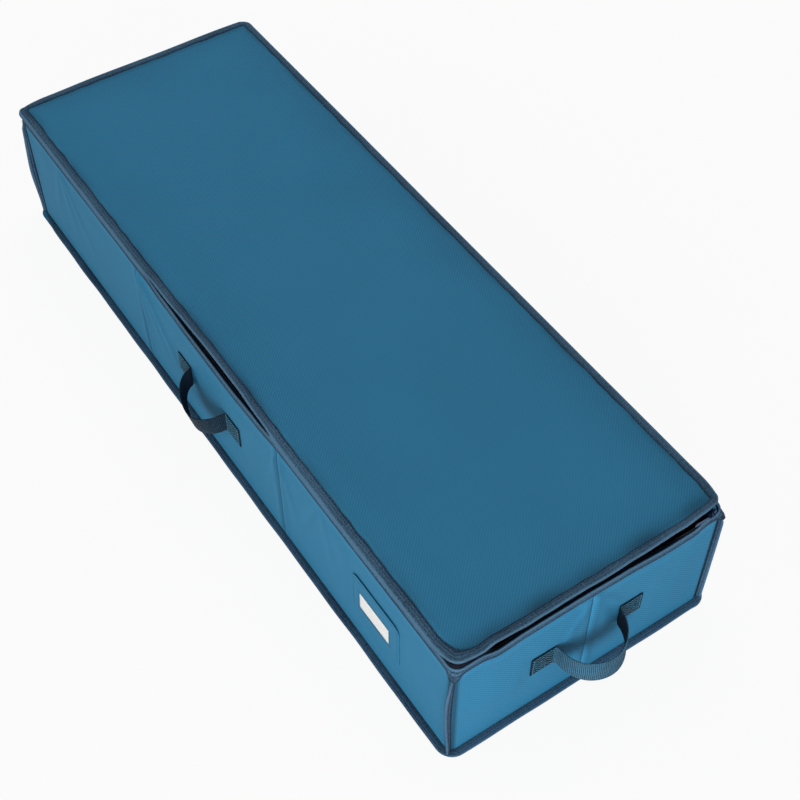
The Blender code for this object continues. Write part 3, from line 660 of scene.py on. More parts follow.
def folded(reach: float, half_gap: float, tape: float) -> list[tuple[float, float]]:
    """Outline of a tape folded double: (distance from the fold, offset).

    Args:
        reach: distance from the outside of the fold to the free edges.
        half_gap: half the space between the two legs.
        tape: the tape's thickness.

    Returns:
        The closed outline, starting at the first leg's free outer edge.
    """
    outer, inner = half_gap + tape, half_gap
    legs = max(4, round((reach - outer) / 0.0010))
    rounding = 0.3 * tape
    turns = [step / 5 for step in range(6)]

    def leg(start: float, end: float, offset: float) -> list[tuple[float, float]]:
        """Points along one face of a leg, between its ends."""
        return [(start + (end - start) * step / legs, offset) for step in range(1, legs)]

    def fold(radius: float, shares: Sequence[float]) -> list[tuple[float, float]]:
        """Points round the fold, at shares of its half turn."""
        return [(outer - radius * math.sin(math.pi * v), radius * math.cos(math.pi * v)) for v in shares]

    return [
        (reach, inner + 0.35 * tape), (reach - rounding, outer),
        *leg(reach, outer, outer), *fold(outer, turns), *leg(outer, reach, -outer),
        (reach - rounding, -outer), (reach, -inner - 0.35 * tape), (reach - rounding, -inner),
        *leg(reach, outer, -inner), *fold(inner, turns[::-1]), *leg(outer, reach, inner),
        (reach - rounding, inner),
    ]


# Shared shader groups


class Nodes:
    """Adds nodes to one tree and joins them."""

    def __init__(self, tree: bpy.types.NodeTree) -> None:
        """Keep the tree."""
        self.tree = tree

    def add(self, kind: str, inputs: dict | None = None, **settings: object) -> bpy.types.Node:
        """Add a node.

        Args:
            kind: the node's type name.
            inputs: values or sockets for its inputs, by name or number.
            **settings: the node's own settings.

        Returns:
            The new node.
        """
        node = self.tree.nodes.new(kind)
        for key, value in settings.items():
            setattr(node, key, value)
        self.fill(node, inputs or {})
        return node

    def fill(self, node: bpy.types.Node, inputs: dict) -> None:
        """Give a node's inputs their values, or link them."""
        for key, value in inputs.items():
            if isinstance(value, bpy.types.NodeSocket):
                self.tree.links.new(value, node.inputs[key])
            else:
                node.inputs[key].default_value = value

    def maths(self, operation: str, *values: object) -> bpy.types.NodeSocket:
        """Add a maths node and give its result."""
        node = self.add("ShaderNodeMath", dict(enumerate(values)), operation=operation)
        return node.outputs[0]

    def mix(self, factor: object, first: object, second: object) -> bpy.types.NodeSocket:
        """Mix two colours and give the result."""
        node = self.add("ShaderNodeMix", {0: factor, 6: first, 7: second}, data_type="RGBA")
        return node.outputs[2]

    def group(self, tree: bpy.types.NodeTree, **inputs: object) -> bpy.types.NodeSocket:
        """Add a shared group and give its result."""
        return self.add("ShaderNodeGroup", inputs, node_tree=tree).outputs[0]

    def noise(self, place: object, scale: object, detail: float, roughness: float) -> bpy.types.NodeSocket:
        """Add a noise texture and give its value."""
        inputs = {"Vector": place, "Scale": scale, "Detail": detail, "Roughness": roughness}
        return self.add("ShaderNodeTexNoise", inputs).outputs[0]

    def bump(self, strength: float, distance: float, height: object) -> bpy.types.NodeSocket:
        """Add relief and give its normal."""
        inputs = {"Strength": strength, "Distance": distance, "Height": height}
        return self.add("ShaderNodeBump", inputs).outputs[0]

    def shade(self) -> bpy.types.NodeSocket:
        """Add the piece's stored shade and give it."""
        node = self.add("ShaderNodeAttribute", attribute_name="shade", attribute_type="GEOMETRY")
        return node.outputs["Fac"]

    def straight_rays(self) -> tuple[bpy.types.NodeSocket, bpy.types.Node]:
        """1 for rays from the camera, through film too, and the rays' node."""
        seen = self.add("ShaderNodeLightPath")
        return self.maths("MAXIMUM", seen.outputs["Is Camera Ray"], seen.outputs["Is Transmission Ray"]), seen


def new_group(name: str, inputs: dict[str, tuple[str, object]], outputs: Sequence[str]) -> tuple:
    """Start a shader group with named sockets.

    Args:
        name: the group's name.
        inputs: socket type and value by name.
        outputs: names of the number outputs.

    Returns:
        The group's Nodes, its input node and its output node.
    """
    tree = bpy.data.node_groups.new(name, "ShaderNodeTree")
    for label, (kind, value) in inputs.items():
        socket = tree.interface.new_socket(label, in_out="INPUT", socket_type=kind)
        if value is not None:
            socket.default_value = value
    for label in outputs:
        tree.interface.new_socket(label, in_out="OUTPUT", socket_type="NodeSocketFloat")
    nodes = Nodes(tree)
    return nodes, nodes.add("NodeGroupInput"), nodes.add("NodeGroupOutput")


class SharedGroups:
    """The effects that several finishes use, each built once."""

    def __init__(self) -> None:
        """Build the groups."""
        self.weave = self._weave()
        self.fuzz = self._fuzz()
        self.drift = self._drift()

    @staticmethod
    def _weave() -> bpy.types.NodeTree:
        """Crossing threads, with a slight diagonal line through them."""
        inputs = {
            "Place": ("NodeSocketVector", None),
            "Thread": ("NodeSocketFloat", 0.0008),
            "Diagonal": ("NodeSocketFloat", 0.3),
        }
        nodes, start, end = new_group("crossed_threads", inputs, ("Height",))
        split = nodes.add("ShaderNodeSeparateXYZ", {0: start.outputs["Place"]})
        thread = start.outputs["Thread"]
        turns = [
            nodes.maths("DIVIDE", nodes.maths("MULTIPLY", split.outputs[axis], math.pi), thread)
            for axis in (0, 1)
        ]
        first, second = (
            nodes.maths("SINE", nodes.maths("MULTIPLY", nodes.maths(way, *turns), 0.7071))
            for way in ("ADD", "SUBTRACT")
        )
        slanted = nodes.maths("MULTIPLY", first, start.outputs["Diagonal"])
        total = nodes.maths("ADD", nodes.maths("MULTIPLY", first, second), slanted)
        nodes.fill(end, {"Height": nodes.maths("MULTIPLY_ADD", total, 0.4, 0.5)})
        return nodes.tree

    @staticmethod
    def _fuzz() -> bpy.types.NodeTree:
        """Fine irregular grain, drawn out along one direction."""
        inputs = {
            "Place": ("NodeSocketVector", None),
            "Grain": ("NodeSocketFloat", 900.0),
            "Stretch": ("NodeSocketFloat", 1.0),
        }
        nodes, start, end = new_group("yarn_grain", inputs, ("Grain",))
        stretch = nodes.add("ShaderNodeCombineXYZ", {0: start.outputs["Stretch"], 1: 1.0, 2: 1.0})
        vectors = {0: start.outputs["Place"], 1: stretch.outputs[0]}
        place = nodes.add("ShaderNodeVectorMath", vectors, operation="MULTIPLY")
        nodes.fill(end, {"Grain": nodes.noise(place.outputs[0], start.outputs["Grain"], 3.0, 0.65)})
        return nodes.tree

    @staticmethod
    def _drift() -> bpy.types.NodeTree:
        """Slow unevenness, as of dye, handling and creases."""
        inputs = {"Place": ("NodeSocketVector", None), "Size": ("NodeSocketFloat", 5.0)}
        nodes, start, end = new_group("slow_unevenness", inputs, ("Share",))
        place, size = start.outputs["Place"], start.outputs["Size"]
        wide = nodes.noise(place, size, 2.0, 0.5)
        small = nodes.noise(place, nodes.maths("MULTIPLY", size, 7.0), 2.0, 0.6)
        share = nodes.maths("MULTIPLY_ADD", small, 0.3, nodes.maths("MULTIPLY", wide, 0.7))
        nodes.fill(end, {"Share": share})
        return nodes.tree


# Finishes


def start_material(name: str) -> tuple[bpy.types.Material, Nodes, bpy.types.Node]:
    """Make an empty material and give its nodes and shader."""
    material = bpy.data.materials.new(name)
    material.use_nodes = True
    return material, Nodes(material.node_tree), material.node_tree.nodes["Principled BSDF"]


def shade_pair(colour: tuple[float, float, float], spread: float) -> tuple[tuple, tuple]:
    """A darker and a lighter neighbour of a colour, with alpha."""
    dark = tuple(value * (1 - spread) for value in colour)
    light = tuple(min(value * (1 + spread), 1.0) for value in colour)
    return (*dark, 1.0), (*light, 1.0)


@dataclass(frozen=True)
class ClothFinish:
    """Woven cloth with crossing threads, slow unevenness and the piece's painted shade and highlights."""

    name: str
    colour: tuple[float, float, float]
    thread: float = 0.0015
    diagonal: float = 0.45
    relief: float = 0.0003
    contrast: float = 0.45
    drift: float = 0.07
    roughness: float = 0.75
    specular: float = 0.2

    def material(self, groups: SharedGroups) -> bpy.types.Material:
        """Build the cloth's material."""
        material, nodes, shader = start_material(self.name)
        place = nodes.add("ShaderNodeUVMap", uv_map=UV_NAME).outputs[0]
        weave = nodes.group(groups.weave, Place=place, Thread=self.thread, Diagonal=self.diagonal)
        drift = nodes.group(groups.drift, Place=nodes.add("ShaderNodeTexCoord").outputs["Object"])
        fuzz = nodes.group(groups.fuzz, Place=place)
        lit = nodes.maths("MULTIPLY_ADD", fuzz, 0.35, nodes.maths("MULTIPLY", weave, 0.65))
        threads = nodes.mix(lit, *shade_pair(self.colour, self.contrast))
        slow_dark, slow_light = (
            (1 + change, 1 + change, 1 + 0.8 * change, 1.0) for change in (-self.drift, self.drift)
        )
        slow = nodes.mix(drift, slow_dark, slow_light)
        dyed = {0: 1.0, 6: threads, 7: slow}
        colour = nodes.add("ShaderNodeMix", dyed, data_type="RGBA", blend_type="MULTIPLY")
        # The stored painted shade darkens the colour; below 0 it paints a highlight.
        left = nodes.maths("MULTIPLY_ADD", nodes.shade(), -0.92, 1.0)
        painted_shade_colour = nodes.add("ShaderNodeVectorMath", {0: colour.outputs[2], "Scale": left}, operation="SCALE")
        nodes.fill(shader, {
            "Base Color": painted_shade_colour.outputs[0],
            "Roughness": self.roughness,
            "Specular IOR Level": self.specular,
            "Normal": nodes.bump(0.7, self.relief, nodes.maths("MULTIPLY_ADD", fuzz, 0.4, weave)),
        })
        return material


@dataclass(frozen=True)
class TapeFinish:
    """Ribbed binding tape or webbing: ribs one way, fuzzy yarn all over, and the piece's painted shade and
    highlights.
    """

    name: str
    dark: tuple[float, float, float]
    light: tuple[float, float, float]
    rib: float = 0.0024
    ribs_along: bool = True
    relief: float = 0.00025
    grain: float = 1100.0
    roughness: float = 0.85
    specular: float = 0.2
    rib_share: float = 0.16
    depth: float = 0.5

    def material(self, groups: SharedGroups) -> bpy.types.Material:
        """Build the tape's material."""
        material, nodes, shader = start_material(self.name)
        place = nodes.add("ShaderNodeUVMap", uv_map=UV_NAME).outputs[0]
        split = nodes.add("ShaderNodeSeparateXYZ", {0: place})
        axis = split.outputs[1 if self.ribs_along else 0]
        ribs = nodes.maths("SINE", nodes.maths("MULTIPLY", axis, 2 * math.pi / self.rib))
        ribs = nodes.maths("MULTIPLY_ADD", ribs, 0.5, 0.5)
        stretch = 0.35 if self.ribs_along else 1.0
        fuzz = nodes.group(groups.fuzz, Place=place, Grain=self.grain, Stretch=stretch)
        drift = nodes.group(groups.drift, Place=nodes.add("ShaderNodeTexCoord").outputs["Object"], Size=14.0)
        mask = nodes.maths("MULTIPLY_ADD", ribs, self.rib_share, nodes.maths("MULTIPLY", fuzz, 1.5))
        mask = nodes.maths("MULTIPLY_ADD", drift, 0.5, nodes.maths("SUBTRACT", mask, self.depth))
        # The stored painted shade moves the ramp towards dark; below 0 it paints a highlight.
        ramp = nodes.add("ShaderNodeValToRGB", {0: nodes.maths("SUBTRACT", mask, nodes.shade())})
        for element, position, colour in zip(ramp.color_ramp.elements, (0.22, 0.82), (self.dark, self.light)):
            element.position = position
            element.color = (*colour, 1.0)
        nodes.fill(shader, {
            "Base Color": ramp.outputs[0],
            "Roughness": self.roughness,
            "Specular IOR Level": self.specular,
            "Normal": nodes.bump(0.8, self.relief, nodes.maths("MULTIPLY_ADD", ribs, self.rib_share, fuzz)),
        })
        return material


@dataclass(frozen=True)
class HardFinish:
    """Metal, plastic, paper or board: fine grain, slight unevenness."""

    name: str
    colour: tuple[float, float, float]
    roughness: float
    metallic: float = 0.0
    spread: float = 0.1
    grain: float = 700.0
    relief: float = 0.00003
    coat: float = 0.0
    alpha: float = 1.0
    specular: float = 0.5

    def material(self, groups: SharedGroups) -> bpy.types.Material:
        """Build the material on the piece's own coordinates."""
        material, nodes, shader = start_material(self.name)
        place = nodes.add("ShaderNodeTexCoord").outputs["Object"]
        fuzz = nodes.group(groups.fuzz, Place=place, Grain=self.grain)
        drift = nodes.group(groups.drift, Place=place, Size=40.0)
        share = nodes.maths("MULTIPLY_ADD", fuzz, 0.6, nodes.maths("MULTIPLY", drift, 0.4))
        low, high = self.roughness * 0.85, min(self.roughness * 1.15, 1.0)
        nodes.fill(shader, {
            "Base Color": nodes.mix(share, *shade_pair(self.colour, self.spread)),
            "Roughness": nodes.maths("MULTIPLY_ADD", share, high - low, low),
            "Metallic": self.metallic,
            "Coat Weight": self.coat,
            "Specular IOR Level": self.specular,
            "Alpha": self.alpha,
            "Normal": nodes.bump(0.5, self.relief, fuzz),
        })
        return material


class Finishes:
    """Every finish of the box, built once."""

    def __init__(self) -> None:
        """Build the shared groups and the materials."""
        groups = SharedGroups()
        self.outer = ClothFinish("teal_box_cloth", linear("2f7ba3")).material(groups)
        self.lining = ClothFinish(
            "inner_cloth", linear("2c4254"), thread=0.0009, diagonal=0.0, contrast=0.16,
        ).material(groups)
        self.binding = TapeFinish("folded_edge_tape", linear("152b40"), linear("4f7694")).material(groups)
        self.webbing = TapeFinish(
            "strap_webbing", linear("0a1d2d"), linear("5590b0"), rib=0.0021, ribs_along=False, relief=0.0005,
            grain=1000.0, roughness=0.8, rib_share=0.4, depth=0.73,
        ).material(groups)
        # The zip tape is near black: its own dark navy, darkened further as painted shade for the deep gap
        # under the lid.
        self.zip_tape = TapeFinish(
            "zip_tape_weave", linear("050914"), linear("182544"), rib=0.0012, ribs_along=False, relief=0.0002,
        ).material(groups)

        def hard(name: str, code: str, roughness: float, **values: float) -> bpy.types.Material:
            """Build the material of one hard finish."""
            return HardFinish(name, linear(code), roughness, **values).material(groups)

        # The coil is near black: its own dark colour, darkened further as painted shade for the gap under the
        # lid.
        self.teeth = hard("zip_coil_nylon", "070a10", 0.6)
        self.thread = hard("sewing_thread", "29435c", 0.6, spread=0.3, grain=2500.0)
        self.strap_thread = hard("strap_thread", "58a6d4", 0.8, spread=0.8, grain=2500.0, specular=0.1)
        self.metal = hard("gunmetal", "2c486c", 0.46, metallic=1.0, spread=0.25)
        self.card = hard("label_paper", "f8f8f6", 0.8, spread=0.012, relief=0.00001)
        self.film = hard("window_film", "e9eef2", 0.12, spread=0.02, alpha=0.05, coat=0.2)
        self.board = hard("grey_board_stiffener", "a79f90", 0.9, spread=0.18, grain=500.0)


# Pieces that repeat along a path


class PathCopies:
    """Geometry node trees that set small shapes along a path."""

    SIZE_NAMES = ("Pitch", "Length", "Width", "Depth")

    def __init__(self) -> None:
        """Build both trees."""
        self.stitches = self._tree("stitches_on_a_line", self._stitch)
        self.coils = self._tree("coil_on_a_line", self._coil)

    def _tree(self, name: str, shape: Callable) -> tuple[bpy.types.NodeTree, dict[str, str]]:
        """Build a tree that copies a shape along the path's line.

        Args:
            name: the tree's name.
            shape: adds the copied shape's nodes.

        Returns:
            The tree, and its input identifiers by name.
        """
        tree = bpy.data.node_groups.new(name, "GeometryNodeTree")
        tree.interface.new_socket("Geometry", in_out="INPUT", socket_type="NodeSocketGeometry")
        kinds = {**dict.fromkeys(self.SIZE_NAMES, "NodeSocketFloat"), "Finish": "NodeSocketMaterial"}
        keys = {
            label: tree.interface.new_socket(label, in_out="INPUT", socket_type=kind).identifier
            for label, kind in kinds.items()
        }
        tree.interface.new_socket("Geometry", in_out="OUTPUT", socket_type="NodeSocketGeometry")
        nodes = Nodes(tree)
        start, end = nodes.add("NodeGroupInput"), nodes.add("NodeGroupOutput")
        line = nodes.add("GeometryNodeMeshToCurve", {0: start.outputs["Geometry"]}).outputs[0]
        spacing = {"Curve": line, "Length": start.outputs["Pitch"]}
        spaced = nodes.add("GeometryNodeResampleCurve", spacing, mode="LENGTH")
        tangent = nodes.add("GeometryNodeInputTangent")
        turn = nodes.add("FunctionNodeAlignRotationToVector", {"Vector": tangent.outputs[0]}, axis="X")
        copied, core = shape(nodes, start, line)
        placed = {"Points": spaced.outputs[0], "Instance": copied, "Rotation": turn.outputs[0]}
        copies = nodes.add("GeometryNodeInstanceOnPoints", placed)
        joined = nodes.add("GeometryNodeJoinGeometry")
        nodes.fill(joined, {0: nodes.add("GeometryNodeRealizeInstances", {0: copies.outputs[0]}).outputs[0]})
        if core is not None:
            nodes.fill(joined, {0: core})
        smooth = nodes.add("GeometryNodeSetShadeSmooth", {0: joined.outputs[0]})
        finish = {0: smooth.outputs[0], "Material": start.outputs["Finish"]}
        nodes.fill(end, {0: nodes.add("GeometryNodeSetMaterial", finish).outputs[0]})
        return tree, keys

    @staticmethod
    def _sized(
        nodes: Nodes, start: bpy.types.Node, shape: bpy.types.Node, *labels: str
    ) -> bpy.types.NodeSocket:
        """Scale a shape along X, Y and Z by three of the tree's sizes."""
        axes = {axis: start.outputs[label] for axis, label in enumerate(labels)}
        size = nodes.add("ShaderNodeCombineXYZ", axes)
        inputs = {"Geometry": shape.outputs[0], "Scale": size.outputs[0]}
        return nodes.add("GeometryNodeTransform", inputs).outputs[0]

    def _stitch(self, nodes: Nodes, start: bpy.types.Node, line: bpy.types.NodeSocket) -> tuple:
        """One stitch: a small rounded grain of thread along X."""
        grain = nodes.add("GeometryNodeMeshUVSphere", {"Segments": 6, "Rings": 4, "Radius": 0.5})
        return self._sized(nodes, start, grain, "Length", "Width", "Depth"), None

    def _coil(self, nodes: Nodes, start: bpy.types.Node, line: bpy.types.NodeSocket) -> tuple:
        """One turn of the coil across the path, and the cord inside it."""

        def circle(corners: int, radius: object) -> bpy.types.NodeSocket:
            """A round outline."""
            inputs = {"Resolution": corners, "Radius": radius}
            return nodes.add("GeometryNodeCurvePrimitiveCircle", inputs).outputs[0]

        tilted = {"Geometry": circle(8, 0.5), "Rotation": (0.25, math.pi / 2, 0.0)}
        upright = nodes.add("GeometryNodeTransform", tilted)
        sized = self._sized(nodes, start, upright, "Length", "Depth", "Width")
        wire = circle(4, nodes.maths("MULTIPLY", start.outputs["Pitch"], 0.26))
        cord = circle(6, nodes.maths("MULTIPLY", start.outputs["Depth"], 0.32))
        loop = nodes.add("GeometryNodeCurveToMesh", {0: sized, 1: wire})
        core = nodes.add("GeometryNodeCurveToMesh", {0: line, 1: cord, 2: True})
        return loop.outputs[0], core.outputs[0]

    def run(
        self,
        name: str,
        lines: Sequence[np.ndarray],
        finish: bpy.types.Material,
        sizes: tuple[float, float, float, float],
        coil: bool = False,
    ) -> bpy.types.Object:
        """Copy the shape along lines of points and keep the plain mesh.

        Args:
            name: the piece's name.
            lines: each an array of points.
            finish: the copies' material.
            sizes: pitch, length, width and depth of the copies, in metres.
            coil: turns of a coil in place of stitches.

        Returns:
            The new object.
        """
        edges, start = [], 0
        for line in lines:
            edges += [(start + step, start + step + 1) for step in range(len(line) - 1)]
            start += len(line)
        path = bpy.data.meshes.new(name + "_path")
        path.from_pydata([tuple(p) for p in np.concatenate(lines)], edges, [])
        carrier = place_object(name + "_path", path)
        step = carrier.modifiers.new("copies", "NODES")
        step.node_group, keys = self.coils if coil else self.stitches
        step[keys["Finish"]] = finish
        for label, value in zip(self.SIZE_NAMES, sizes):
            step[keys[label]] = value
        graph = bpy.context.evaluated_depsgraph_get()
        mesh = bpy.data.meshes.new_from_object(carrier.evaluated_get(graph))
        bpy.data.objects.remove(carrier)
        mesh.name = name
        mesh.materials.clear()
        mesh.materials.append(finish)
        mesh.polygons.foreach_set("material_index", np.zeros(len(mesh.polygons), dtype=np.int32))
        return place_object(name, mesh)


# Sub-assemblies


def settle(piece: bpy.types.Object, body: str, node: str = "") -> None:
    """Set a finished piece on its body and log it.

    Args:
        piece: the finished piece.
        body: the body that it moves with.
        node: the frame's piece that it takes the place of, if any.
    """
    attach(piece, body)
    if node:
        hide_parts(node)
    LOG.info("%s: %d faces", piece.name, len(piece.data.polygons))


@dataclass
class Assembly:
    """What every sub-assembly is made with."""

    finishes: Finishes
    copies: PathCopies


@dataclass
class BoxBody(Assembly):
    """The box: wall panels, linings, base and the tapes that bind them."""

    ring: Ring = field(default_factory=Ring)
    cloth: float = 0.0005
    lining: float = 0.0004
    lining_inset: float = 0.0031
    lining_top: float = 0.1677
    turned_reach: float = 0.0055
    row_pitch: float = 0.005
    foot_rows: tuple[float, ...] = (0.0034, 0.0044, 0.0058, 0.0078)
    even_rows: tuple[float, float] = (0.0105, 0.158)
    rim_rows: tuple[float, ...] = (
        0.1595, 0.1610, 0.1624, 0.1638, 0.1650, 0.1662, 0.1674, 0.1690, 0.1720,
    )
    lining_rows: tuple[float, ...] = (0.1655, 0.1668, 0.1680, 0.172)
    lining_band: tuple[float, float, float, float] = (0.0, 0.16, 0.05, 0.05)
    seam_columns: tuple[float, ...] = (-3.2, -2.0, -1.2, -0.6, 0.0, 0.6, 1.2, 2.0, 3.2)
    tape: float = 0.0006
    rim_tape: float = 0.0005
    rim_gap: float = 0.00088
    rim_reach: float = 0.010
    rim_shoulder: float = 0.00083
    near_flare: float = 0.0072
    far_flare: float = 0.004
    flare_down: float = 0.0052
    base_gap: float = 0.00055
    base_reach: float = 0.0095
    base_out: float = 0.009
    base_middle: float = 0.00115
    base_wave: float = 0.00025
    base_drawn: tuple[float, float] = (0.0068, 0.028)
    fin_gap: float = 0.00082
    fin_reach: float = 0.0077
    fin_out: float = 0.0080
    fin_rows: int = 34
    floor_inset: float = 0.0055
    under_out: float = 0.0079
    stitch: tuple[float, float, float, float] = (0.0036, 0.0027, 0.0006, 0.00045)

    def build(self) -> None:
        """Make every soft piece of the box and set it on its body."""
        for wall in Wall:
            self._panel(wall)
            self._wall_lining(wall)
        for index, name in enumerate(("front_right", "back_right", "back_left", "front_left")):
            self._corner_tape(index, name)
        self._rim_tape()
        self._base_tape()
        self._base_sheets()
        self._stitches()

    def _columns(self, wall: Wall) -> tuple[np.ndarray, np.ndarray, np.ndarray]:
        """Columns of a panel between its turned-out edges.

        Args:
            wall: the wall that the panel covers.

        Returns:
            Plan points, outward directions and distances along the wall.
        """
        corner, steps = SIZES.corner, 6
        flat = wall.half - corner
        offset = 0.00015 + self.cloth
        ends = {}
        for sign in (-1, 1):
            centre = wall.along * (sign * flat) + wall.normal * (wall.offset - corner)
            diagonal = (wall.along * sign + wall.normal) / math.sqrt(2)
            aside = (wall.normal - wall.along * sign) / math.sqrt(2)
            fold = centre + diagonal * math.sqrt(corner**2 - offset**2) + aside * offset
            edge = centre + diagonal * (corner + self.turned_reach) + aside * offset
            ends[sign] = [(edge, aside), (fold, diagonal + aside)]
            for step in range(1, steps + 1):
                angle = math.radians(45 * (1 - step / steps))
                out = wall.along * (sign * math.sin(angle)) + wall.normal * math.cos(angle)
                ends[sign].append((centre + out * corner, out))
        count = round(2 * flat / self.row_pitch)
        flats = [(-flat + 2 * flat * step / count) for step in range(1, count)]
        for seam in wall.seams:
            flats += [seam + shift * MM for shift in self.seam_columns]
        middle = [(wall.along * place + wall.normal * wall.offset, wall.normal) for place in sorted(flats)]
        plan, out = (np.array(values) for values in zip(*ends[-1], *middle, *ends[1][::-1]))
        return plan, out, plan @ wall.along

    def _panel(self, wall: Wall) -> None:
        """Outer cloth of one wall, with its seams, waves and turned edges."""
        plan, out, along = self._columns(wall)
        even = np.arange(*self.even_rows, self.row_pitch)
        heights = np.array([SIZES.wall_foot, *self.foot_rows, *even, *self.rim_rows, SIZES.wall_top])
        bulge = SOFT.panel(wall, along[:, None], heights)
        dip = SOFT.rim_dip(*plan.T)
        corner = list(Wall).index(wall)
        points = np.empty((*bulge.shape, 3))
        for column, height in enumerate(heights):
            base = plan.copy()
            left = max(float(ease((0.1672 - height) / 0.006)), 0.06) * SOFT.fin_taper(height)
            for edge, fold, index in ((0, 1, corner), (-1, -2, (corner + 1) % 4)):
                reach = (plan[edge] - plan[fold]) * left
                base[edge] = plan[fold] + turned(reach, SOFT.fin_lean(index, height))
            points[:, column, :2] = base + out * bulge[:, column, None]
            points[:, column, 2] = height - dip * SOFT.rim_share(height)
        panel = thick_sheet(
            f"{wall.label}_panel", points, -level(out)[:, None], self.cloth,
            run_length(plan), heights, self.finishes.outer,
        )
        # Painted shade and highlights, the same on both faces of the panel.
        set_shade(panel, np.tile(self._panel_shade(wall, along, heights, dip), (2, 1)))
        flat = (2 * wall.half, heights[-1] - heights[0])
        self._settle(panel, f"{wall.label}_cloth", flat, f"{wall.label}_lining")

    def _panel_shade(
        self, wall: Wall, along: np.ndarray, heights: np.ndarray, dip: np.ndarray
    ) -> np.ndarray:
        """Painted shade and highlights of a panel by its tapes, its turned edges, its waves and its seams."""
        # Painted shadow along the foot, under the rim tape and beside the turned edges.
        foot = 0.85 * hump(heights, SIZES.wall_foot, 0.0022)
        dip = dip[:, None]
        rim = heights - dip * SOFT.rim_share(heights) - (SIZES.rim_tape_foot - dip)
        under = 0.8 * hump(np.minimum(rim, 0.0), 0.0, 0.0016)
        ends = 0.7 * hump(np.abs(along), wall.half - self.turned_reach, 0.0028)
        shade = np.maximum(np.maximum(foot, under), ends[:, None])
        # Light and shade painted from the slopes of the cloth's waves.
        step = 0.6 * MM
        ahead, behind = (SOFT.panel(wall, along[:, None] + off, heights) for off in (step, -step))
        side = -1.0 if wall in (Wall.FRONT, Wall.RIGHT) else 1.0
        shade += np.clip(side * 0.85 * (ahead - behind) / (2 * step), -0.34, 0.15)
        # Painted highlight just above the front wall's foot, and a band of it under the rim tape.
        if wall is Wall.FRONT:
            shade -= 0.30 * hump(heights, 0.0078, 0.0016)
        below = SIZES.rim_tape_foot - dip - heights
        shade -= 0.12 * hump(below, 0.006, 0.004) * (below > 0)
        # Painted shade in each seam; on the front wall also a painted highlight beside it and a soft band of
        # painted shade.
        pale = 0.5 if wall is Wall.FRONT else 0.0
        for seam in wall.seams:
            line = 0.36 * hump(along - seam, -0.0004, 0.0010)
            line -= pale * hump(along - seam, 0.0018, 0.0011)
            line += 0.44 * pale * hump(along - seam, -0.0034, 0.0026)
            shade += line[:, None]
        return shade

    @staticmethod
    def _settle(sheet: bpy.types.Object, node: str, flat: tuple[float, float], rests_on: str) -> None:
        """Set a sheet of the box in its node's place."""
        settle(sheet, "box", node)

    def _wall_lining(self, wall: Wall) -> None:
        """Inner cloth of one wall, tucked out under the rim tape at its top."""
        flat = wall.half - SIZES.corner
        radius = SIZES.corner - self.lining_inset
        even = np.linspace(SIZES.wall_foot, 0.1640, 18)
        heights = np.array([*even, *self.lining_rows, SIZES.wall_top])
        tuck = ease((heights - 0.1645) / 0.0032) * 0.0023
        angles = [math.radians(43 * (1 - step / 4)) for step in range(4)]
        bend = [(-flat - radius * math.sin(angle), radius * (math.cos(angle) - 1)) for angle in angles]
        places = bend + [(place, 0.0) for place in np.linspace(-flat, flat, max(3, round(2 * flat / 0.02)))]
        places += [(-along, out) for along, out in reversed(bend)]
        along, out = np.array(places).T[:, :, None]
        wave = 0.25 * MM * ripple(61, along, 0.15) * band(heights, *self.lining_band)
        face = wall.place(along, out - self.lining_inset + tuck - np.abs(wave), heights)
        x, y, z = np.moveaxis(face, -1, 0)
        up = (z - self.lining_top) / (SIZES.wall_top - self.lining_top)
        z -= SOFT.rim_dip(x, y) * np.clip(up, 0.0, 1.0)
        lining = thick_sheet(
            f"{wall.label}_inner_cloth", face, -level(wall.normal), self.lining,
            along[:, 0] - along[0], heights, self.finishes.lining,
        )
        flat = (2 * wall.half, heights[-1] - heights[0])
        self._settle(lining, f"{wall.label}_lining", flat, f"{wall.label}_board_1")

    def _corner_tape(self, index: int, name: str) -> None:
        """Folded tape that stands out along one vertical corner."""
        side_x, side_y, start = Ring.CORNERS[index]
        turn = math.radians(start + 45)
        diagonal = np.array([math.cos(turn), math.sin(turn)])
        aside = np.array([-diagonal[1], diagonal[0]])
        centre = np.array([side_x * (HALF_X - SIZES.corner), side_y * (HALF_Y - SIZES.corner)])
        foot = centre + diagonal * SIZES.corner
        heights = np.linspace(SIZES.wall_foot + 0.0002, SIZES.rim_tape_foot + 0.0002, self.fin_rows)
        middle = SOFT.fin_middle(heights)
        sway = 0.35 * MM * ripple(71 + index, heights, 0.09) * middle
        stand = (0.4 + 0.5 * ripple(81 + index, heights, 0.12)) * MM * middle
        if index == 3:
            stand += 3.0 * MM * np.sin(math.pi * np.clip(heights / SIZES.rim_tape_foot, 0.0, 1.0)) ** 2
        shape = folded(self.fin_reach, self.fin_gap, self.tape)
        depth, offset = np.array(shape).T[:, :, None]
        share = 1 - depth / self.fin_reach
        dip = SOFT.rim_dip(*(centre[:, None] + np.array([[side_x], [side_y]]) * 0.01))[0]
        points = np.empty((len(heights), len(shape), 3))
        for row, height in enumerate(heights):
            lean = SOFT.fin_lean(index, height)
            reach = (self.fin_out - depth) * SOFT.fin_taper(height) + stand[row] * share
            off = offset + sway[row] * share
            points[row, :, :2] = foot + turned(diagonal, lean) * reach + turned(aside, lean) * off
            points[row, :, 2] = height - dip * SOFT.rim_share(height)
        skin = Skin(points, heights, girth(shape), closed_columns=True)
        tape = skin.build(f"corner_tape_{name}", self.finishes.binding)
        # Painted shadow and highlight of the folded tape, with more painted shade on the front right corner's
        # tape.
        set_shade(tape, tape_shade(shape, len(heights), 0.45, 0.30) + (0.12 if index == 0 else 0.0))
        settle(tape, "box", f"corner_binding_{name}")

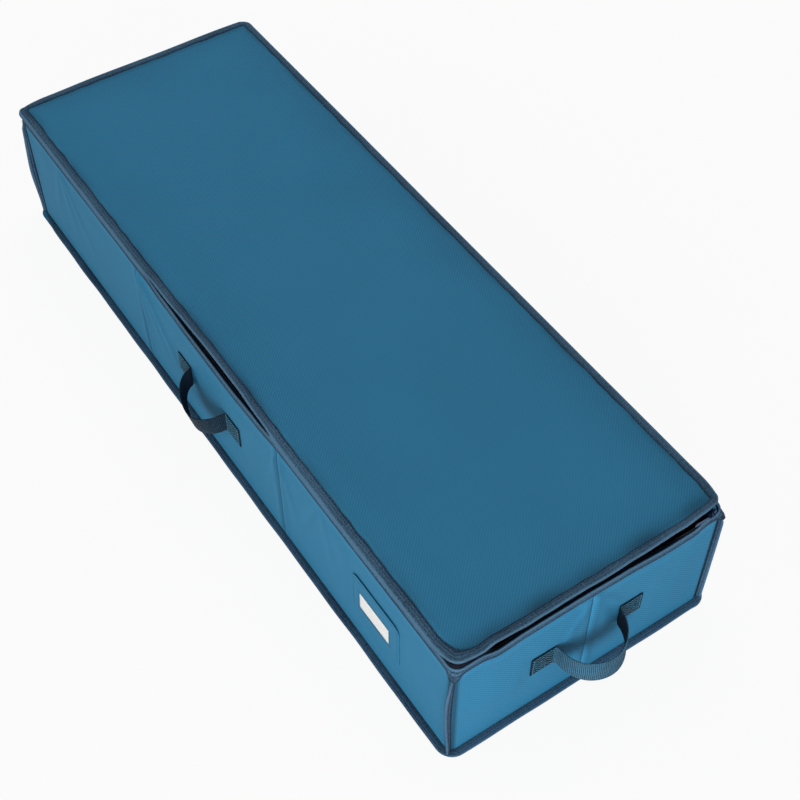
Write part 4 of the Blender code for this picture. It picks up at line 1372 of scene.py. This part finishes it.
    def _ring_tape(self, name: str, node: str, shape: Sequence, columns: Sequence, shade: np.ndarray) -> None:
        """A tape all round the box, in its node's place."""
        tape = Skin(self.ring.loft(columns), self.ring.distance, girth(shape), True, True)
        tape = tape.build(name, self.finishes.binding)
        set_shade(tape, shade)
        settle(tape, "box", node)

    def _rim_tape(self) -> None:
        """Tape folded over the rim, which widens over the corners' edges."""
        ring = self.ring
        corner = ring.corner_share() ** 2
        wave = 0.18 * MM * ring.wave(91, 0.08)
        height = SIZES.rim - SOFT.rim_dip(ring.x, ring.y) + wave * 0.6
        shape = folded(self.rim_reach, self.rim_gap, self.rim_tape)
        flare = corner * np.where(ring.x > 0, self.near_flare, self.far_flare)
        flare = flare + 0.25 * MM + np.maximum(wave, 0.0)
        columns = []
        for depth, offset in shape:
            share = ease((depth - 0.002) / 0.008) * (offset > 0)
            down = depth + corner * self.flare_down * share
            columns.append((self.rim_shoulder - offset - flare * share, height - down))
        # Painted shadow at the tape's free edges and grooves, painted highlight by its fold.
        self._ring_tape("rim_tape", "rim_binding", shape, columns, tape_shade(shape, len(ring), 0.30, 0.40))

    def _base_tape(self) -> None:
        """Tape folded over the base cloth's edge, lying on the floor."""
        ring = self.ring
        most, reach = self.base_drawn
        drawn_in = most * near_corner(ring.x, ring.y, -1, -1, reach) - 0.35 * MM * ring.wave(92, 0.13)
        lift = self.base_wave * (1 + ring.wave(93, 0.17))
        shape = folded(self.base_reach, self.base_gap, self.tape)
        columns = []
        for depth, offset in shape:
            share = 1 - depth / self.base_reach
            height = self.base_middle + offset * (1 - 0.25 * share) + lift * share * share
            columns.append((depth - self.base_out + drawn_in * share, np.maximum(height, 0.0)))
        # The tape's painted shade and highlight, painted lighter all round, with painted shade along the
        # front.
        front = np.repeat(ease((-ring.y - 0.165) / 0.01), len(shape))
        shade = tape_shade(shape, len(ring), 0.30, 0.12) * 0.8 - 0.20 + 0.24 * front
        self._ring_tape("base_tape", "bottom_binding", shape, columns, shade)

    def _base_sheets(self) -> None:
        """The cloth under the box and the cloth over its base board."""

        def under_top(x: np.ndarray, y: np.ndarray, inset: np.ndarray) -> np.ndarray:
            """Top of the cloth under the box, lower inside its binding."""
            return 0.0014 - 0.0009 * ease((inset - 0.0035) / 0.001)

        def floor_top(x: np.ndarray, y: np.ndarray, inset: np.ndarray) -> np.ndarray:
            """Top of the floor cloth, which waves a little over its board."""
            swell = 1 + ripple(94, x + 0.4 * y, 0.2) * ripple(95, y, 0.15)
            return 0.00385 + 0.25 * MM * swell * ease(inset / 0.03)

        out, inset = self.under_out, self.floor_inset
        under = plan_sheet("under_cloth", -out, 0.03, self.cloth, self.finishes.outer, under_top)
        self._settle(under, "base_cloth", (SIZES.length + 2 * out, SIZES.depth + 2 * out), "bottom_binding")
        floor = plan_sheet("floor_cloth", inset, 0.012, self.lining, self.finishes.lining, floor_top)
        self._settle(floor, "base_lining", (SIZES.length - 2 * inset, SIZES.depth - 2 * inset), "base_board")

    def _stitches(self) -> None:
        """Lines of stitching through the box's tapes."""
        ring = self.ring
        corner = ring.corner_share() ** 2
        height = SIZES.rim - 0.0076 - SOFT.rim_dip(ring.x, ring.y) - 0.0041 * corner
        base = np.full(len(ring), 0.00232)
        lines = ring.loft([(-0.00115 - self.flare_down * corner, height), (-0.0036, base)])
        lines = [closed(lines[:, 0]), closed(lines[:, 1])]
        stitches = self.copies.run("box_stitches", lines, self.finishes.thread, self.stitch)
        settle(stitches, "box")


def plan_sheet(
    name: str,
    edge_inset: float,
    pitch: float,
    thickness: float,
    material: bpy.types.Material,
    height: Callable[[np.ndarray, np.ndarray, np.ndarray], np.ndarray],
    edge_lines: Sequence[float] = (),
    worn: bool = False,
) -> bpy.types.Object:
    """Make a flat-lying sheet in the shape of the box's plan.

    Args:
        name: the piece's name.
        edge_inset: inset of its edge from the wall's outer face.
        pitch: distance between its grid lines.
        thickness: the cloth's thickness.
        material: its finish.
        height: top height from x, y and the inset of each point.
        edge_lines: more insets at which grid lines run.
        worn: with the lid's worn corners.

    Returns:
        The new object.
    """
    half = np.array([HALF_X - edge_inset, HALF_Y - edge_inset])
    radius = max(SIZES.corner - edge_inset, SIZES.least_corner)
    axes = []
    for reach in half:
        inner = reach - radius
        places = list(np.linspace(-inner, inner, max(2, round(2 * inner / pitch))))
        places += [sign * (inner + radius * step / 5) for sign in (-1, 1) for step in range(1, 6)]
        places += [sign * (reach + edge_inset - line) for sign in (-1, 1) for line in edge_lines]
        axes.append(np.unique(np.round(places, 6)))
    grid = np.stack(np.meshgrid(*axes, indexing="ij"), axis=-1)
    over = np.maximum(np.abs(grid) - (half - radius), 0.0)
    drawn = over * np.sqrt(1 - (over[..., ::-1] / radius) ** 2 / 2)
    x, y = np.moveaxis(np.sign(grid) * (np.abs(grid) - over + drawn), -1, 0)
    top = np.stack([x, y, height(x, y, from_edge(x, y))], axis=-1)
    if worn:
        top = SOFT.lid_plan(top)
    down = np.array([0.0, 0.0, -1.0])
    return thick_sheet(name, top, down, thickness, axes[0] - axes[0][0], axes[1] - axes[1][0], material)


@dataclass
class Lid(Assembly):
    """The lid: cloth, lining, the tape round them and the stitching."""

    ring: Ring = field(default_factory=Ring)
    cloth: float = 0.0005
    lining: float = 0.0004
    cloth_out: float = 0.0007
    tape: float = 0.00055
    tape_gap: float = 0.00078
    tape_middle: float = 0.00145
    rounded_corner: tuple[float, float] = (0.006, 0.017)
    stitch_insets: tuple[float, float] = (0.0026, 0.0071)
    stitch_up: float = 0.00283
    stitch: tuple[float, float, float, float] = (0.0036, 0.0027, 0.00055, 0.00045)
    flange_lines: tuple[float, ...] = (0.0002, 0.0014, 0.003, 0.0055, 0.008, 0.0105, 0.0135, 0.018)
    cloth_pitch: float = 0.006
    lining_pitch: float = 0.02

    def build(self) -> None:
        """Make every soft piece of the lid and set it on its body."""
        finishes = self.finishes
        layer = (self.cloth_pitch, self.cloth, finishes.outer, self._top_height)
        top = self._sheet("lid_top_cloth", "lid_cloth", *layer)
        # Painted shade on the lid's cloth beside its edges and in soft patches.
        points = np.empty(len(top.data.vertices) * 3)
        top.data.vertices.foreach_get("co", points)
        set_shade(top, SOFT.lid_shade(*points.reshape(-1, 3).T[:2]))
        layer = (self.lining_pitch, self.lining, finishes.lining, self._inner_height)
        self._sheet("lid_inner_cloth", "lid_lining", *layer)
        self._edge_tape()
        self._stitches()

    @staticmethod
    def _top_height(x: np.ndarray, y: np.ndarray, inset: np.ndarray) -> np.ndarray:
        """Height of the lid cloth's upper face."""
        return SIZES.lid_cloth_top + SOFT.lid_swell(x, y) - SOFT.lid_drop(x, y)

    @staticmethod
    def _inner_height(x: np.ndarray, y: np.ndarray, inset: np.ndarray) -> np.ndarray:
        """Height of the lining's upper face, drawn up to the edge tape."""
        step = 0.0023 * ease((inset - 0.0085) / 0.0045)
        return SIZES.lid_cloth_top - 0.0008 - step - SOFT.lid_drop(x, y)

    def _sheet(
        self,
        name: str,
        node: str,
        pitch: float,
        thickness: float,
        finish: bpy.types.Material,
        height: Callable[[np.ndarray, np.ndarray, np.ndarray], np.ndarray],
    ) -> bpy.types.Object:
        """The cloth over or under the lid's board, in its node's place.

        Args:
            name: the piece's name.
            node: the frame's piece that it takes the place of.
            pitch: distance between its grid lines.
            thickness: the cloth's thickness.
            finish: its finish.
            height: top height from x, y and the inset of each point.

        Returns:
            The new object.
        """
        sheet = plan_sheet(
            name, -self.cloth_out, pitch, thickness, finish, height, self.flange_lines, worn=True
        )
        settle(sheet, "lid", node)
        return sheet

    def _edge_tape(self) -> None:
        """Tape folded over the lid's edge."""
        ring, width = self.ring, SIZES.lid_tape_width
        shape = folded(width, self.tape_gap, self.tape)
        most, reach = self.rounded_corner
        rounded = most * near_corner(ring.x, ring.y, 1, -1, reach) + 0.0006 * ring.wave(27, 0.05)
        outline = []
        for depth, offset in shape:
            plan = ring.plan(depth - SIZES.lid_overhang + rounded * (depth / width) ** 2)
            drop = SOFT.lid_drop(*plan.T)
            lip = 0.001 * ease((0.0014 - depth) / 0.0014) * (drop > 5 * MM)
            plan = SOFT.lid_plan(plan) + ring.normals() * lip[:, None]
            outline.append(np.column_stack([plan, SIZES.lid_foot + self.tape_middle + offset - drop]))
        tape = Skin(np.stack(outline, axis=1), ring.distance, girth(shape), True, True)
        tape = tape.build("lid_edge_tape", self.finishes.binding)
        # Painted shadow at the tape's free edges and grooves, painted highlight by its fold.
        set_shade(tape, tape_shade(shape, len(ring), 0.38, 0.40))
        settle(tape, "lid", "lid_binding")

    def _stitches(self) -> None:
        """Two lines of stitching through the edge tape."""
        lines = []
        for inset in self.stitch_insets:
            plan = self.ring.plan(inset)
            height = SIZES.lid_foot + self.stitch_up - SOFT.lid_drop(*plan.T)
            lines.append(closed(np.column_stack([SOFT.lid_plan(plan), height])))
        stitches = self.copies.run("lid_stitches", lines, self.finishes.thread, self.stitch)
        settle(stitches, "lid")


@dataclass
class ZipAndHinge(Assembly):
    """Both halves of the zip, and the cloth that hinges the lid."""

    tape: float = 0.0006
    teeth: tuple[float, float, float, float] = (0.0016, 0.0008, 0.0009, 0.0010)
    sewn: float = 0.006
    tuck: float = 0.0034
    fold_in: float = 0.0018
    fold_down: float = 0.0034
    teeth_in: float = 0.0027
    teeth_down: float = 0.0048
    lower_levels: tuple[float, ...] = (0.1755, 0.1768, 0.1780)
    lower_teeth_end: float = 0.1635
    upper_left_end: float = 0.1625
    tucked: float = 0.0002
    hinge_cloth: float = 0.0005
    hinge_rows: int = 9

    def build(self) -> None:
        """Make the zip's tapes and teeth and the hinge cloth."""
        self._lower()
        self._upper()
        self._hinge()

    @staticmethod
    def _path(left_end: float, right_end: float, inset: float) -> tuple[np.ndarray, np.ndarray]:
        """Left end, front and right end at an inset, and the outward ways."""
        centre, flat = HALF_X - SIZES.corner, HALF_Y - SIZES.corner
        radius = SIZES.corner - inset
        turns = [math.radians(90 * step / 7) for step in range(1, 7)]

        def bend(side: int, start: float) -> list[tuple[float, float, float, float]]:
            """Points and ways round one front corner."""
            ways = [(math.cos(start + turn), math.sin(start + turn)) for turn in turns]
            return [(side * centre + radius * x, radius * y - flat, x, y) for x, y in ways]

        stations = np.array([
            *[(inset - HALF_X, y, -1.0, 0.0) for y in np.linspace(left_end, -flat, 40)],
            *bend(-1, math.pi),
            *[(x, inset - HALF_Y, 0.0, -1.0) for x in np.linspace(-centre, centre, 150)],
            *bend(1, 1.5 * math.pi),
            *[(HALF_X - inset, y, 1.0, 0.0) for y in np.linspace(-flat, right_end, 40)],
        ])
        return stations[:, :2], stations[:, 2:]

    def _ribbon(self, name: str, body: str, node: str, path: tuple, profile: np.ndarray) -> bpy.types.Object:
        """One half's tape, in its node's place.

        Args:
            name: the piece's name.
            body: the body that it moves with.
            node: the frame's piece that it takes the place of.
            path: plan points and outward ways along it.
            profile: its outline of (further inset, height) at each of them.

        Returns:
            The new object.
        """
        plan, ways = path
        points = np.empty((*profile.shape[:2], 3))
        points[:, :, :2] = plan[:, None] - ways[:, None] * profile[:, :, :1]
        points[:, :, 2] = profile[:, :, 1]
        tape = Skin(points, run_length(plan), girth(profile[0]), closed_columns=True)
        tape = tape.build(name, self.finishes.zip_tape)
        settle(tape, body, node)
        return tape

    def _coil(self, name: str, body: str, node: str, plan: np.ndarray, height: np.ndarray) -> None:
        """One half's teeth along a line, in its node's place."""
        line = np.column_stack([plan, height])
        coil = self.copies.run(name, [line], self.finishes.teeth, self.teeth, coil=True)
        settle(coil, body, node)

    def _lower(self) -> None:
        """The half sewn inside the rim, standing up from it."""
        plan, ways = self._path(SIZES.zip_end, SIZES.zip_end, SIZES.zip_inset)
        gape = SOFT.gape(*plan.T)[:, None]
        low, high = SIZES.rim - self.sewn, SIZES.lower_coil_foot - self.tucked
        heights = np.array([low, *self.lower_levels, high])
        inset, height = np.repeat([0.0, self.tape], len(heights)), np.concatenate([heights, heights[::-1]])
        share = gape * np.clip((height - self.lower_levels[0]) / (high - self.lower_levels[0]), 0.0, 1.0)
        height = height - (SOFT.rim_dip(*plan.T)[:, None] + share * self.fold_down)
        profile = np.stack([inset + share * self.fold_in, height], axis=-1)
        self._ribbon("rim_zip_tape", "box", "zip_tape_lower", (plan, ways), profile)
        plan, ways = self._path(self.lower_teeth_end, self.lower_teeth_end, SIZES.coil_inset)
        gape = SOFT.gape(*plan.T)
        height = SIZES.lower_coil_foot + SIZES.coil_height / 2
        height = height - SOFT.rim_dip(*plan.T) - gape * self.teeth_down
        plan = plan - ways * (gape * self.teeth_in)[:, None]
        self._coil("rim_zip_teeth", "box", "zip_coil_lower", plan, height)

    def _upper(self) -> None:
        """The half sewn under the lid's flange, which hangs behind the rim."""
        plan, ways = self._path(self.upper_left_end, SIZES.upper_zip_right_end, SIZES.zip_inset)
        drop, gape = SOFT.lid_drop(*plan.T), SOFT.gape(*plan.T)
        back = self.tuck * np.maximum(ease(drop / (4.5 * MM)), gape * 1.3) + 0.0001
        inner, reach = back + self.tape, back + self.sewn
        top = SIZES.lid_foot - self.tucked - drop
        foot = SIZES.upper_coil_foot + SIZES.coil_height - self.tucked - drop + gape * 0.0012
        far_top = SIZES.lid_foot - self.tucked - SOFT.lid_drop(*(plan - ways * reach[:, None]).T)
        insets = (back, inner, inner, reach, reach, back, back)
        heights = (foot, foot, top - self.tape, far_top - self.tape, far_top, top, foot + 0.0009)
        profile = np.stack([insets, heights], axis=-1).swapaxes(0, 1)
        tape = self._ribbon("lid_zip_tape", "lid", "zip_tape_upper", (plan, ways), profile)
        # Painted highlight along the hem at the foot of the lid's zip tape.
        set_shade(tape, np.tile([-1.0, -0.3, 0.0, 0.0, 0.0, 0.0, 0.0], len(plan)))
        plan = plan - ways * (back + self.tape / 2)[:, None]
        self._coil("lid_zip_teeth", "lid", "zip_coil_upper", plan, foot + self.tucked - SIZES.coil_height / 2)

    def _hinge(self) -> None:
        """The cloth strip round the back, from inside the rim up to the lid."""
        ring = Ring(corner_steps=6, pitch=0.012)
        keep = ring.y > HALF_Y - SIZES.corner - 1e-6
        plan, ways = ring.plan(SIZES.zip_inset)[keep], ring.normals()[keep]
        drop, dip = SOFT.lid_drop(*plan.T), SOFT.rim_dip(*plan.T)
        low, high = SIZES.rim - self.sewn, SIZES.lid_foot - 0.0003
        heights = np.linspace(low, high, self.hinge_rows)
        points = np.empty((len(plan), len(heights), 3))
        for column, height in enumerate(heights):
            share = (height - low) / (high - low)
            slack = 0.9 * MM * math.sin(math.pi * min(max((share - 0.35) / 0.65, 0.0), 1.0))
            points[:, column, :2] = SOFT.lid_plan(plan - ways * slack, share)
            points[:, column, 2] = height - dip * (1 - share) - drop * ease((share - 0.3) / 0.7)
        across = run_length(plan)
        cloth = thick_sheet(
            "hinge_cloth", points, -level(ways)[:, None], self.hinge_cloth,
            across, heights, self.finishes.outer,
        )
        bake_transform(cloth)
        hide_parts("lid_hinge_strip")
        LOG.info("%s: %d faces", cloth.name, len(cloth.data.polygons))


@dataclass
class Straps(Assembly):
    """The three webbing handles with their sewn ends."""

    width: float = 0.032
    webbing: float = 0.0016
    span: float = 0.151
    grip: float = 0.085
    bow: float = 0.043
    droop: float = 0.009
    front_bow: float = 0.029
    front_droop: float = 0.018
    height: float = 0.087
    seat: float = 0.0011
    rounding: float = 0.0006
    zigzag: float = 0.0013
    sewn_rows: int = 7
    row_points: int = 12
    stitch: tuple[float, float, float, float] = (0.0026, 0.0021, 0.0006, 0.0005)

    def build(self) -> None:
        """Make each strap and set it on the box."""
        for wall in (Wall.FRONT, Wall.RIGHT, Wall.LEFT):
            self._strap(wall)
            self._sewing(wall)

    def _line(self, bow: float) -> np.ndarray:
        """Middle of the strap seen from above, as (along, out) points."""
        half = self.grip / 2
        tab = [(place, self.seat) for place in np.linspace(-self.span / 2, -half - 0.003, 9)]
        turns = [math.pi * step / 48 for step in range(49)]
        loop = [(-half * math.cos(turn), self.seat + bow * math.sin(turn) ** 0.92) for turn in turns]
        line = np.array([*tab, *loop, *[(-place, out) for place, out in tab[::-1]]])
        for _ in range(2):
            line[9:-9] = (line[8:-10] + 2 * line[9:-9] + line[10:-8]) / 4
        return line

    def _strap(self, wall: Wall) -> None:
        """One strap, with its ribs in its finish."""
        bow, droop = (self.front_bow, self.front_droop) if wall is Wall.FRONT else (self.bow, self.droop)
        line = self._line(bow)
        tangent = np.gradient(line, axis=0)
        tangent /= np.linalg.norm(tangent, axis=1)[:, None]
        normal = np.column_stack([-tangent[:, 1], tangent[:, 0]])
        thick, wide = self.webbing / 2, self.width / 2
        levels = (self.rounding - wide, -wide / 3, wide / 3, wide - self.rounding)
        outline = [*[(thick, up) for up in levels], (0.0, wide)]
        outline += [*[(-thick, up) for up in levels[::-1]], (0.0, -wide)]
        bowed = np.clip((line[:, 1] - self.seat) / bow, 0.0, 1.0)
        lean = 0.004 * bowed * (1 if wall is Wall.FRONT else -0.3)
        points = np.empty((len(line), len(outline), 3))
        for column, (out, up) in enumerate(outline):
            along = line[:, 0] + normal[:, 0] * out
            away = line[:, 1] + normal[:, 1] * out + lean * up / wide
            away += 0.0008 * bowed * np.sin(line[:, 0] / 0.011) * (up / wide) ** 2
            points[:, column] = wall.place(along, away, self.height + up - droop * bowed**2)
        skin = Skin(points, run_length(line), girth(outline), closed_columns=True)
        strap = skin.build(f"{wall.label}_strap", self.finishes.webbing)
        # Darker sewn ends; painted shade on the front strap's loop and on each strap's inner face.
        sewn = 0.38 * (bowed <= 0.0) + 0.40 * (wall is Wall.FRONT) * (bowed > 0.0)
        inside = 0.6 * np.array([out < 0 for out, _ in outline])
        set_shade(strap, sewn[:, None] + inside[None, :])
        settle(strap, "box", f"{wall.label}_handle")

    def _sewing(self, wall: Wall) -> None:
        """Dense crossed stitching over both sewn ends of a strap."""
        out = np.full(self.row_points, self.seat + self.webbing / 2 + 0.0001)
        turns = self.zigzag * np.where(np.arange(self.row_points) % 2, 1.0, -1.0)
        lines = []
        for side in (-1, 1):
            start, end = side * (self.span / 2 - 0.0025), side * (self.grip / 2 + 0.003)
            places = np.linspace(start, end, self.row_points)
            for row in range(self.sewn_rows):
                middle = self.height + self.width * (row / (self.sewn_rows - 1) - 0.5) * 0.86
                lines.append(wall.place(places, out, middle + turns))
            levels = self.height + self.width * np.linspace(-0.44, 0.44, self.row_points)
            lines += [wall.place(place, out, levels) for place in (start, end)]
        name = f"{wall.label}_strap_stitches"
        stitches = self.copies.run(name, lines, self.finishes.strap_thread, self.stitch)
        settle(stitches, "box")


@dataclass
class LabelPocket(Assembly):
    """The cloth frame of the label pocket, open at its top."""

    middle: float = 0.372
    width: float = 0.090
    foot: float = 0.050
    height: float = 0.075
    window_middle: float = 0.369
    window_width: float = 0.058
    window_foot: float = 0.068
    window_height: float = 0.030
    foot_radius: float = 0.003
    top_radius: float = 0.010
    window_radius: float = 0.0008
    out: float = 0.0016
    seat: float = 0.0009
    cloth: float = 0.0005
    shares: tuple[float, ...] = (
        0.0, 0.05, 0.10, 0.13, 0.16, 0.20, 0.24, 0.5, 0.80, 0.84, 0.88, 0.94, 1.0,
    )
    sewn_lines: tuple[tuple[float, float], ...] = ((0.0012, 0.00095), (0.0028, 0.00125))
    stitch: tuple[float, float, float, float] = (0.0030, 0.0022, 0.0004, 0.0004)

    def build(self) -> None:
        """Make the pocket's frame and stitching and set them on the box."""
        radii = (self.foot_radius, self.top_radius)
        outer = self._outline(self.middle, self.width, self.foot, self.height, *radii)
        inner = self._window(0.0, self.window_radius)
        shares = np.array(self.shares)
        rings = outer[:, None] * (1 - shares)[:, None] + inner[:, None] * shares[:, None]
        near_top = ease((rings[:, :, 1] - (self.foot + self.height - 0.012)) / 0.010)
        lift = np.maximum(ease(shares / 0.16), near_top)
        out = self.seat + (self.out - self.seat) * lift + 0.0003 * near_top
        front = Wall.FRONT.place(rings[:, :, 0], out, rings[:, :, 1])
        back = Wall.FRONT.place(rings[:, ::-1, 0], out[:, ::-1] - self.cloth, rings[:, ::-1, 1])
        across = np.concatenate([shares * 0.02, 0.02 + shares * 0.02, [0.04]])
        skin = Skin(np.concatenate([front, back], axis=1), run_length(closed(outer)), across, True, True)
        frame = skin.build("pocket_frame", self.finishes.outer)
        # Painted shade in the frame's stitch grooves and along the window's edge.
        lines = 0.30 * np.isin(shares, (0.10, 0.20, 0.84)) + 0.12 * (shares == 1.0)
        set_shade(frame, np.tile([*lines, *lines[::-1]], len(outer)))
        self._flat_places(frame)
        settle(frame, "box", "label_pocket")
        self._sewing()

    @staticmethod
    def _flat_places(frame: bpy.types.Object) -> None:
        """Lay the frame's cloth distances flat, so that its threads run straight."""
        mesh = frame.data
        layer = mesh.uv_layers[UV_NAME].data
        for loop in mesh.loops:
            layer[loop.index].uv = mesh.vertices[loop.vertex_index].co.xz

    @staticmethod
    def _outline(
        middle: float, width: float, foot: float, height: float, low: float, high: float
    ) -> np.ndarray:
        """Rounded rectangle with as many points on each side as the next."""
        arcs = []
        corners = ((1, 0, low, -90), (1, 1, high, 0), (-1, 1, high, 90), (-1, 0, low, 180))
        for side, upper, radius, start in corners:
            up = foot + (height - radius if upper else radius)
            centre = np.array([middle + side * (width / 2 - radius), up])
            turns = np.radians([start + 90 * step / 5 for step in range(6)])
            arcs.append(centre + radius * np.column_stack([np.cos(turns), np.sin(turns)]))
        points = []
        for arc, after in zip(arcs, arcs[1:] + arcs[:1]):
            points += [*arc, *[arc[-1] + (after[0] - arc[-1]) * step / 8 for step in range(1, 8)]]
        return np.array(points)

    def _window(self, out: float, radius: float) -> np.ndarray:
        """The window's outline, widened by a distance."""
        width, height = self.window_width + 2 * out, self.window_height + 2 * out
        return self._outline(self.window_middle, width, self.window_foot - out, height, radius, radius)

    def _sewing(self) -> None:
        """Double stitching round the pocket and single round the window."""
        lines = []
        for inset, out in self.sewn_lines:
            width, height = self.width - 2 * inset, self.height - 2 * inset
            radii = (self.foot_radius, self.top_radius - inset)
            x, z = self._outline(self.middle, width, self.foot + inset, height, *radii).T
            keep = z < self.foot + self.height - inset - 0.0004
            order = np.roll(np.arange(len(z)), -int(np.argmin(keep)) - 1)
            lines.append(Wall.FRONT.place(x, out, z)[order[keep[order]]])
        x, z = self._window(0.0025, 0.002).T
        lines.append(closed(Wall.FRONT.place(x, self.out + 0.00005, z)))
        stitches = self.copies.run("pocket_stitches", lines, self.finishes.thread, self.stitch)
        settle(stitches, "box")


def dress_frame(frame: dict, finishes: Finishes) -> None:
    """Give the rigid pieces that stay from the frame their finishes."""
    kept = {"label_card": finishes.card, "label_film": finishes.film}
    kept.update(dict.fromkeys(("zip_slider", "zip_pull", "zip_stop_right", "zip_stop_left"), finishes.metal))
    for name, node in frame["nodes"].items():
        finish = finishes.board if "_board" in name else kept.get(name)
        if finish is not None:
            for slot in node.material_slots:
                slot.material = finish


# Studio


@dataclass(frozen=True)
class Studio:
    """Floor, soft light and the camera."""

    camera_place: tuple[float, float, float] = (1.04403, -0.59906, 1.42598)
    azimuth: float = 56.11
    elevation: float = 50.62
    roll: float = 0.13
    focal_share: float = 1417.6 / 800
    sensor: float = 36.0

    def build(self) -> None:
        """Make the floor, the lights and the camera."""
        self._floor()
        self._world()
        self._lamp("key_softbox", (2.2, -1.2, 0.6), 1.4, 38.5)
        self._lamp("front_softbox", (-0.8, -3.1, 1.5), 2.6, 25.5, (1.0, 0.96, 0.85))
        self._lamp("top_softbox", (-1.2, 1.0, 2.6), 2.6, 27.0)
        self._camera()

    @staticmethod
    def _floor() -> None:
        """A wide pale floor that takes the box's shadow."""
        mesh = bpy.data.meshes.new("studio_floor")
        reach, low = 12.0, -0.0003
        corners = [(x * reach, y * reach, low) for x, y in ((-1, -1), (1, -1), (1, 1), (-1, 1))]
        mesh.from_pydata(corners, [], [(0, 1, 2, 3)])
        floor = place_object("studio_floor", mesh)
        material, nodes, shader = start_material("studio_floor_paint")
        nodes.fill(shader, {"Base Color": (0.75, 0.75, 0.75, 1.0), "Roughness": 0.9})
        glow = nodes.add("ShaderNodeEmission", {"Color": (1.0, 1.0, 1.0, 1.0), "Strength": 1.0})
        direct, seen = nodes.straight_rays()
        share = nodes.maths("MULTIPLY", nodes.maths("MAXIMUM", direct, seen.outputs["Is Glossy Ray"]), 0.92)
        mixed = nodes.add("ShaderNodeMixShader", {0: share, 1: shader.outputs[0], 2: glow.outputs[0]})
        nodes.fill(material.node_tree.nodes["Material Output"], {0: mixed.outputs[0]})
        mesh.materials.append(material)

    @staticmethod
    def _world() -> None:
        """Even light from all round, and a white background."""
        world = bpy.data.worlds.new("studio_world")
        bpy.context.scene.world = world
        world.use_nodes = True
        nodes = Nodes(world.node_tree)
        strength = nodes.maths("MULTIPLY_ADD", nodes.straight_rays()[0], 0.7, 0.3)
        nodes.fill(world.node_tree.nodes["Background"], {"Strength": strength, "Color": (1.0, 1.0, 1.0, 1.0)})

    @staticmethod
    def _lamp(name: str, place: tuple, size: float, power: float, colour: tuple = (1.0, 1.0, 1.0)) -> None:
        """A square soft lamp aimed at the box."""
        data = bpy.data.lights.new(name, "AREA")
        data.shape = "SQUARE"
        data.size = size
        data.energy = power
        data.color = colour
        lamp = place_object(name, data)
        lamp.location = place
        lamp.rotation_euler = (Vector((0.0, 0.0, 0.1)) - Vector(place)).to_track_quat("-Z", "Y").to_euler()

    def _camera(self) -> None:
        """The camera at the picture's angle, for a square picture."""
        turn, rise, roll = (math.radians(v) for v in (self.azimuth, self.elevation, self.roll))
        back = Vector((math.sin(turn) * math.cos(rise), -math.cos(turn) * math.cos(rise), math.sin(rise)))
        right = Vector((0, 0, 1)).cross(back).normalized()
        up = back.cross(right)
        right, up = right * math.cos(roll) + up * math.sin(roll), up * math.cos(roll) - right * math.sin(roll)
        data = bpy.data.cameras.new("camera")
        data.sensor_width = self.sensor
        data.lens = self.focal_share * self.sensor
        data.clip_start, data.clip_end = 0.05, 50.0
        camera = place_object("camera", data)
        axes = Matrix((right, up, back)).transposed().to_4x4()
        camera.matrix_world = Matrix.Translation(self.camera_place) @ axes
        bpy.context.scene.camera = camera


def main() -> None:
    """Build the looks in order."""
    logging.basicConfig(level=logging.INFO, format="%(message)s")
    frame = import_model()
    bpy.context.scene.view_settings.view_transform = "Standard"
    Studio().build()
    finishes = Finishes()
    copies = PathCopies()
    dress_frame(frame, finishes)
    for assembly in (BoxBody, Lid, ZipAndHinge, Straps, LabelPocket):
        assembly(finishes, copies).build()


if __name__ == "__main__":
    main()
